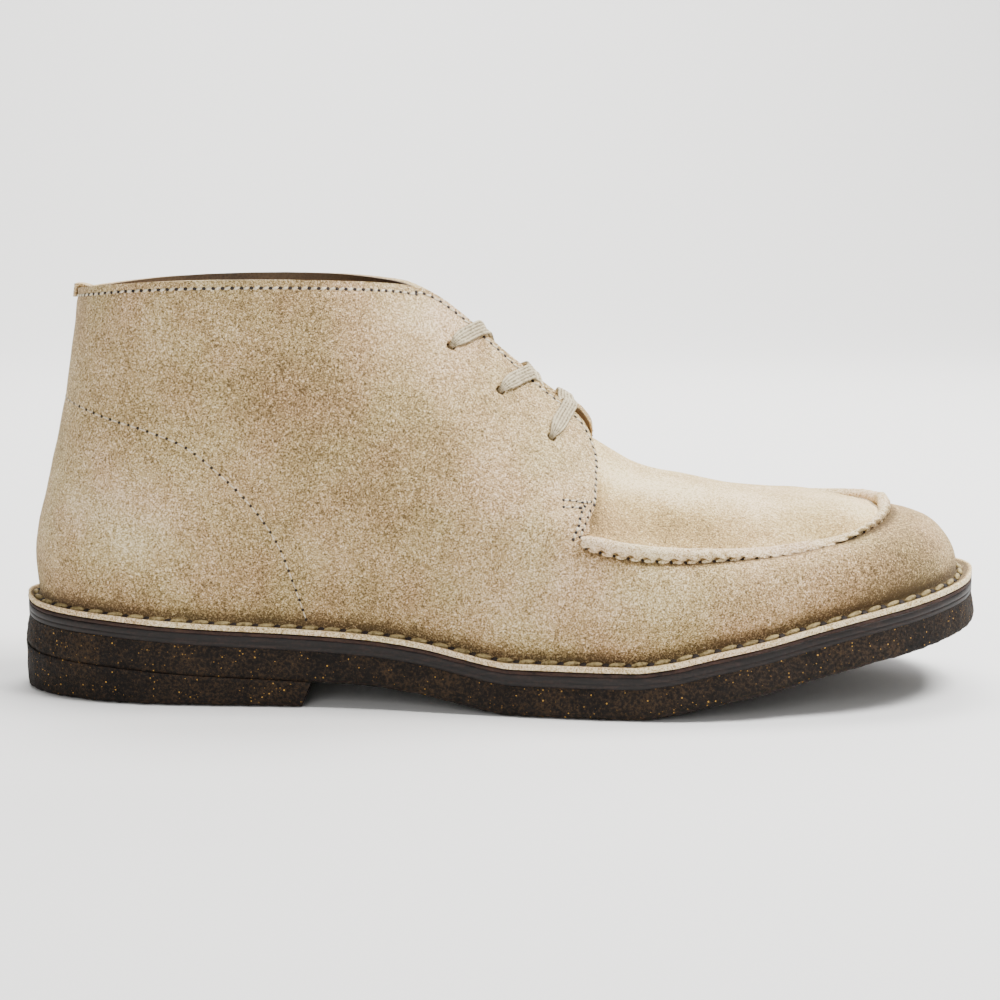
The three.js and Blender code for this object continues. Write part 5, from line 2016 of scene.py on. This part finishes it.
@dataclass
class Lacing:
    """Tongue and lace."""

    last: Last
    wardrobe: Wardrobe
    upper: Upper
    clearance: float = 0.15 * MM
    edge_lift: float = 0.35 * MM
    crossing_sag: float = 0.8 * MM
    bar_feet: tuple[float, float] = (0.546, 0.543)
    near_feet: tuple[float, float] = (0.518, 0.478)
    far_feet: tuple[float, float] = (0.53, 0.49)
    tongue_top: float = 0.432
    tongue_foot: float = 0.55
    tongue_wing: float = 17 * MM
    tongue_sag: float = 2 * MM
    tongue_thickness: float = 2 * MM
    tongue_depth: float = 3.6 * MM
    charted_length: float = 120 * MM

    def tongue(self) -> None:
        """The suede tongue under the facings."""
        start = self.last.rib_at(self.tongue_top)
        end = self.last.rib_at(self.tongue_foot)
        columns = []
        for at in np.linspace(start, end, 41):
            wings = []
            for side in (LATERAL, MEDIAL):
                wing = []
                for share in np.linspace(1, 0, 11):
                    row = self.last.row_below_edge(side * at, max(share * self.tongue_wing, 0.5 * MM))
                    point = Vector(self.last.rib(side * at, row)[0])
                    wing.append(point - self.last.rib_normal(side * at, row) * self.tongue_depth)
                wings.append(wing)
            lateral, medial = wings
            middle = []
            for share in np.linspace(0, 1, 9)[1:-1]:
                point = lateral[-1].lerp(medial[-1], share)
                point.z -= self.tongue_sag * math.sin(math.pi * share)
                middle.append(point)
            columns.append([tuple(point) for point in (*lateral, *middle, *medial[::-1])])
        sheet = sheet_of(np.array(columns))
        push(sheet, lumps(sheet, 14 * MM, 0.3 * MM, 12))
        piece = add_piece("suede_tongue", sheet, self.wardrobe.suede, ["tongue"])
        give_wall(piece, self.tongue_thickness, 0.5 * MM)

    def on_facing(self, eyelet: Eyelet, edge_foot: float, share: float) -> tuple[Vector, Vector]:
        """Place and outward direction on the way from an eyelet to the facing's edge.

        Args:
            eyelet: Where the way starts.
            edge_foot: Foot of the rib where it ends.
            share: How much of the way is gone.

        Returns:
            The two.
        """
        at = eyelet.at + (eyelet.side * self.last.rib_at(edge_foot) - eyelet.at) * share
        row = eyelet.row + (5 - eyelet.row) * share
        return Vector(self.last.rib(at, row)[0]), self.last.rib_normal(at, row)

    def over_facing(self, eyelet: Eyelet, edge_foot: float) -> list[Stop]:
        """Stops over the outside of a facing, from an eyelet to the facing's edge.

        Args:
            eyelet: Where it starts.
            edge_foot: Foot of the rib where it ends.

        Returns:
            The stops.
        """
        stops = []
        for share in (0.16, 0.38, 0.6, 0.82, 1.0):
            point, normal = self.on_facing(eyelet, edge_foot, share)
            lift = self.clearance + 0.6 * MM + self.edge_lift * share**2
            width = (3.6 if share < 0.2 else 5) * MM
            stops.append(Stop(point + normal * lift, normal, width))
        return stops

    def under_facing(self, eyelet: Eyelet, edge_foot: float) -> list[Stop]:
        """Stops along the inside of a facing, from its edge to an eyelet.

        Args:
            eyelet: Where it ends.
            edge_foot: Foot of the rib where it starts.

        Returns:
            The stops.
        """
        depth = self.last.wall + self.clearance + 0.6 * MM
        stops = []
        for share in (0.9, 0.55, 0.22):
            point, normal = self.on_facing(eyelet, edge_foot, share)
            stops.append(Stop(point - normal * depth, -normal, 4.4 * MM))
        return stops

    def through(self, eyelet: Eyelet, first_over: Stop) -> list[Stop]:
        """Stops of the lace coming out through an eyelet, squeezed by it.

        Args:
            eyelet: The eyelet.
            first_over: Next stop outside it.

        Returns:
            The stops.
        """
        away = eyelet.point - first_over.point
        away = (away - eyelet.normal * away.dot(eyelet.normal)).normalized()
        hug = eyelet.point - away * self.upper.bore * 0.3
        return [Stop(hug - eyelet.normal * 2.0 * MM, away, 1.9 * MM, 1 * MM),
                Stop(hug - eyelet.normal * 0.3 * MM, away, 1.9 * MM, 1 * MM)]

    def strand(self, pairs: list[list[Eyelet]], side: int, lift: float) -> list[Stop]:
        """Half of the lace, from its hidden end at a top eyelet to the bottom eyelet on that side.

        Args:
            pairs: All eyelets.
            side: Side of the top eyelet.
            lift: How much higher than its twin this strand crosses.

        Returns:
            Stops from the end to the bottom eyelet.
        """
        index = 0 if side == LATERAL else 1
        stops: list[Stop] = []
        top = pairs[2][index]
        inner = self.last.rib_normal(top.at, top.row - 0.25)
        for drop in (0.42, 0.2):
            point = Vector(self.last.rib(top.at, top.row - drop)[0]) - inner * (self.last.wall + 0.9 * MM)
            stops.append(Stop(point, -inner, 4.4 * MM))
        for level in (2, 1):
            eyelet = pairs[level][index]
            over = self.over_facing(eyelet, self.near_feet[level - 1])
            index = 1 - index
            lower = pairs[level - 1][index]
            under = self.under_facing(lower, self.far_feet[level - 1])
            start, end = over[-1], under[0]
            crossing = []
            for share in (0.25, 0.5, 0.75):
                point = start.point.lerp(end.point, share)
                point.z += lift - self.crossing_sag * math.sin(math.pi * share)
                crossing.append(Stop(point, Vector((0, 0, 1)).lerp(start.normal, 0.3).normalized()))
            flipped = [Stop(stop.point, -stop.normal, stop.width) for stop in under]
            stops += [*self.through(eyelet, over[0]), *over, *crossing, *flipped]
        return stops

    def lace(self) -> None:
        """The flat lace: two strands and the bar that joins them, as one ribbon each."""
        pairs = self.upper.eyelets()
        lateral, medial = pairs[0]
        over_lateral = self.over_facing(lateral, self.bar_feet[0])
        over_medial = self.over_facing(medial, self.bar_feet[1])
        middle = over_lateral[-1].point.lerp(over_medial[-1].point, 0.5)
        sag = [Stop(middle - Vector((0, 0, 0.6 * MM)), Vector((0, 0, 1)))]
        bar = [*self.through(lateral, over_lateral[0]), *over_lateral, *sag, *over_medial[::-1],
               *self.through(medial, over_medial[0])[::-1]]
        ribbons = [self.ribbon(bar), self.ribbon(self.strand(pairs, LATERAL, 0.75 * MM)),
                   self.ribbon(self.strand(pairs, MEDIAL, -0.75 * MM))]
        shape = merged(ribbons)
        material = RibbedCotton().make(self.charted_length)
        add_piece("flat_lace", shape, material,
                  ["lace_bar", "lace_cross_lower", "lace_cross_upper"])

    def ribbon(self, stops: Sequence[Stop]) -> BMesh:
        """A flat ribbed ribbon through stops.

        Args:
            stops: Places on its way.

        Returns:
            The ribbon, closed at its ends.
        """
        points = np.array([tuple(stop.point) for stop in stops])
        ways = ways_along(points)
        even = np.arange(0, ways[-1], 0.45 * MM)
        facts = np.array([(*stop.point, *stop.normal, stop.width, stop.thickness) for stop in stops])
        facts = curve_values(ways, facts, even)
        line, normals = facts[:, :3], facts[:, 3:6]
        tangents = np.gradient(line, axis=0)
        tangents = unit_rows(tangents)
        across = np.cross(tangents, normals)
        across = unit_rows(across)
        up = np.cross(across, tangents)
        turns = np.linspace(0, 2 * np.pi, 61)
        wide = np.sign(np.cos(turns)) * np.abs(np.cos(turns)) ** 0.9
        high = np.sign(np.sin(turns)) * np.abs(np.sin(turns)) ** 0.5
        ribs = 1 + 0.13 * np.cos(wide * math.pi * 5)
        section = (across[:, None] * (wide[None, :] * facts[:, 6:7] / 2)[..., None]
                   + up[:, None] * (high * ribs)[None, :, None] * facts[:, 7][:, None, None] / 2)
        chart = np.stack(np.broadcast_arrays((even / even[-1])[:, None], (wide / 2 + 0.5)[None, :]), axis=2)
        sheet = sheet_of(line[:, None] + section, close=True, chart=chart)
        close_ends(sheet)
        return sheet


@dataclass
class Studio:
    """White floor, soft lights and the photograph's camera."""

    camera_place: tuple[float, float, float] = (106 * MM, -600 * MM, 150 * MM)
    camera_pitch: float = 8.7
    focal_pixels: float = 1915.0
    frame_pixels: float = 1000.0
    sensor: float = 36.0

    def camera(self) -> None:
        """The camera beside the boot, a little above it and looking slightly down."""
        data = bpy.data.cameras.new("camera")
        data.sensor_width = self.sensor
        data.lens = self.focal_pixels / self.frame_pixels * self.sensor
        data.clip_start = 10 * MM
        camera = bpy.data.objects.new("camera", data)
        camera.location = self.camera_place
        camera.rotation_euler = (math.radians(90 - self.camera_pitch), 0, 0)
        bpy.context.scene.collection.objects.link(camera)
        bpy.context.scene.camera = camera

    def backdrop(self) -> None:
        """A wide matt white sheet: floor in front, swept up behind."""
        radius, back, height, half = 1.2, 1.4, 2.6, 4.0
        profile = [(-4.0, 0.0), (back, 0.0)]
        for turn in np.linspace(0, math.pi / 2, 13)[1:]:
            profile.append((back + radius * math.sin(turn), radius * (1 - math.cos(turn))))
        profile.append((back + radius, height + radius))
        points = np.array([[(x, y, z) for y, z in profile] for x in (-half, half)])
        shape = sheet_of(points)
        mesh = bpy.data.meshes.new("backdrop")
        shape.to_mesh(mesh)
        shape.free()
        mesh.shade_smooth()
        material, _, shader = new_material("matt_white_paper")
        shader.inputs["Base Color"].default_value = srgb("#e3e2e0")
        shader.inputs["Roughness"].default_value = 0.9
        shader.inputs["Specular IOR Level"].default_value = 0.1
        mesh.materials.append(material)
        sheet = bpy.data.objects.new("backdrop", mesh)
        bpy.context.scene.collection.objects.link(sheet)

    def light(self, name: str, place: Vector, target: Vector, size: float, power: float) -> None:
        """A square soft light.

        Args:
            name: Its name.
            place: Where it stands.
            target: Where it points.
            size: Length of its side.
            power: Its power in watts.
        """
        data = bpy.data.lights.new(name, "AREA")
        data.size = size
        data.energy = power
        lamp = bpy.data.objects.new(name, data)
        lamp.location = place
        lamp.rotation_euler = (target - place).to_track_quat("-Z", "Y").to_euler()
        bpy.context.scene.collection.objects.link(lamp)

    def build(self) -> None:
        """Camera, backdrop, sky and lights."""
        self.camera()
        self.backdrop()
        world = bpy.data.worlds.new("studio")
        world.use_nodes = True
        world.node_tree.nodes["Background"].inputs["Color"].default_value = (1, 1, 1, 1)
        world.node_tree.nodes["Background"].inputs["Strength"].default_value = 0.32
        bpy.context.scene.world = world
        boot = Vector((0.1, 0, 0.05))
        self.light("key", Vector((0.7, -0.1, 1.15)), boot, 0.5, 36)
        self.light("fill", Vector((-0.2, -1.3, 0.65)), boot, 0.8, 7)
        self.light("rim", Vector((0.4, 1.0, 0.9)), boot, 0.7, 7)
        self.light("sweep", Vector((0, 0.9, 2.2)), Vector((0, 2.4, 0.6)), 1.6, 150)


def main() -> None:
    """Builds the boot and the studio, and reports each piece."""
    logging.basicConfig(level=logging.INFO, format="%(name)s: %(message)s")
    Studio().build()
    last = Last()
    wardrobe = Wardrobe()
    needlework = Needlework(last, wardrobe)
    upper = Upper(last, wardrobe)
    cutters = upper.punches()
    upper.side_and_quarter(cutters, needlework)
    upper.shaft_lining(cutters)
    for cutter in cutters:
        bpy.data.objects.remove(cutter)
    upper.vamp_plug()
    upper.apron_seam(needlework)
    upper.back_tab()
    sole = Sole(last, wardrobe)
    sole.outsole()
    sole.heel()
    sole.band()
    sole.flange_layer()
    sole.insole()
    sole.stitching(needlework)
    lacing = Lacing(last, wardrobe, upper)
    lacing.tongue()
    lacing.lace()


if __name__ == "__main__":
    main()
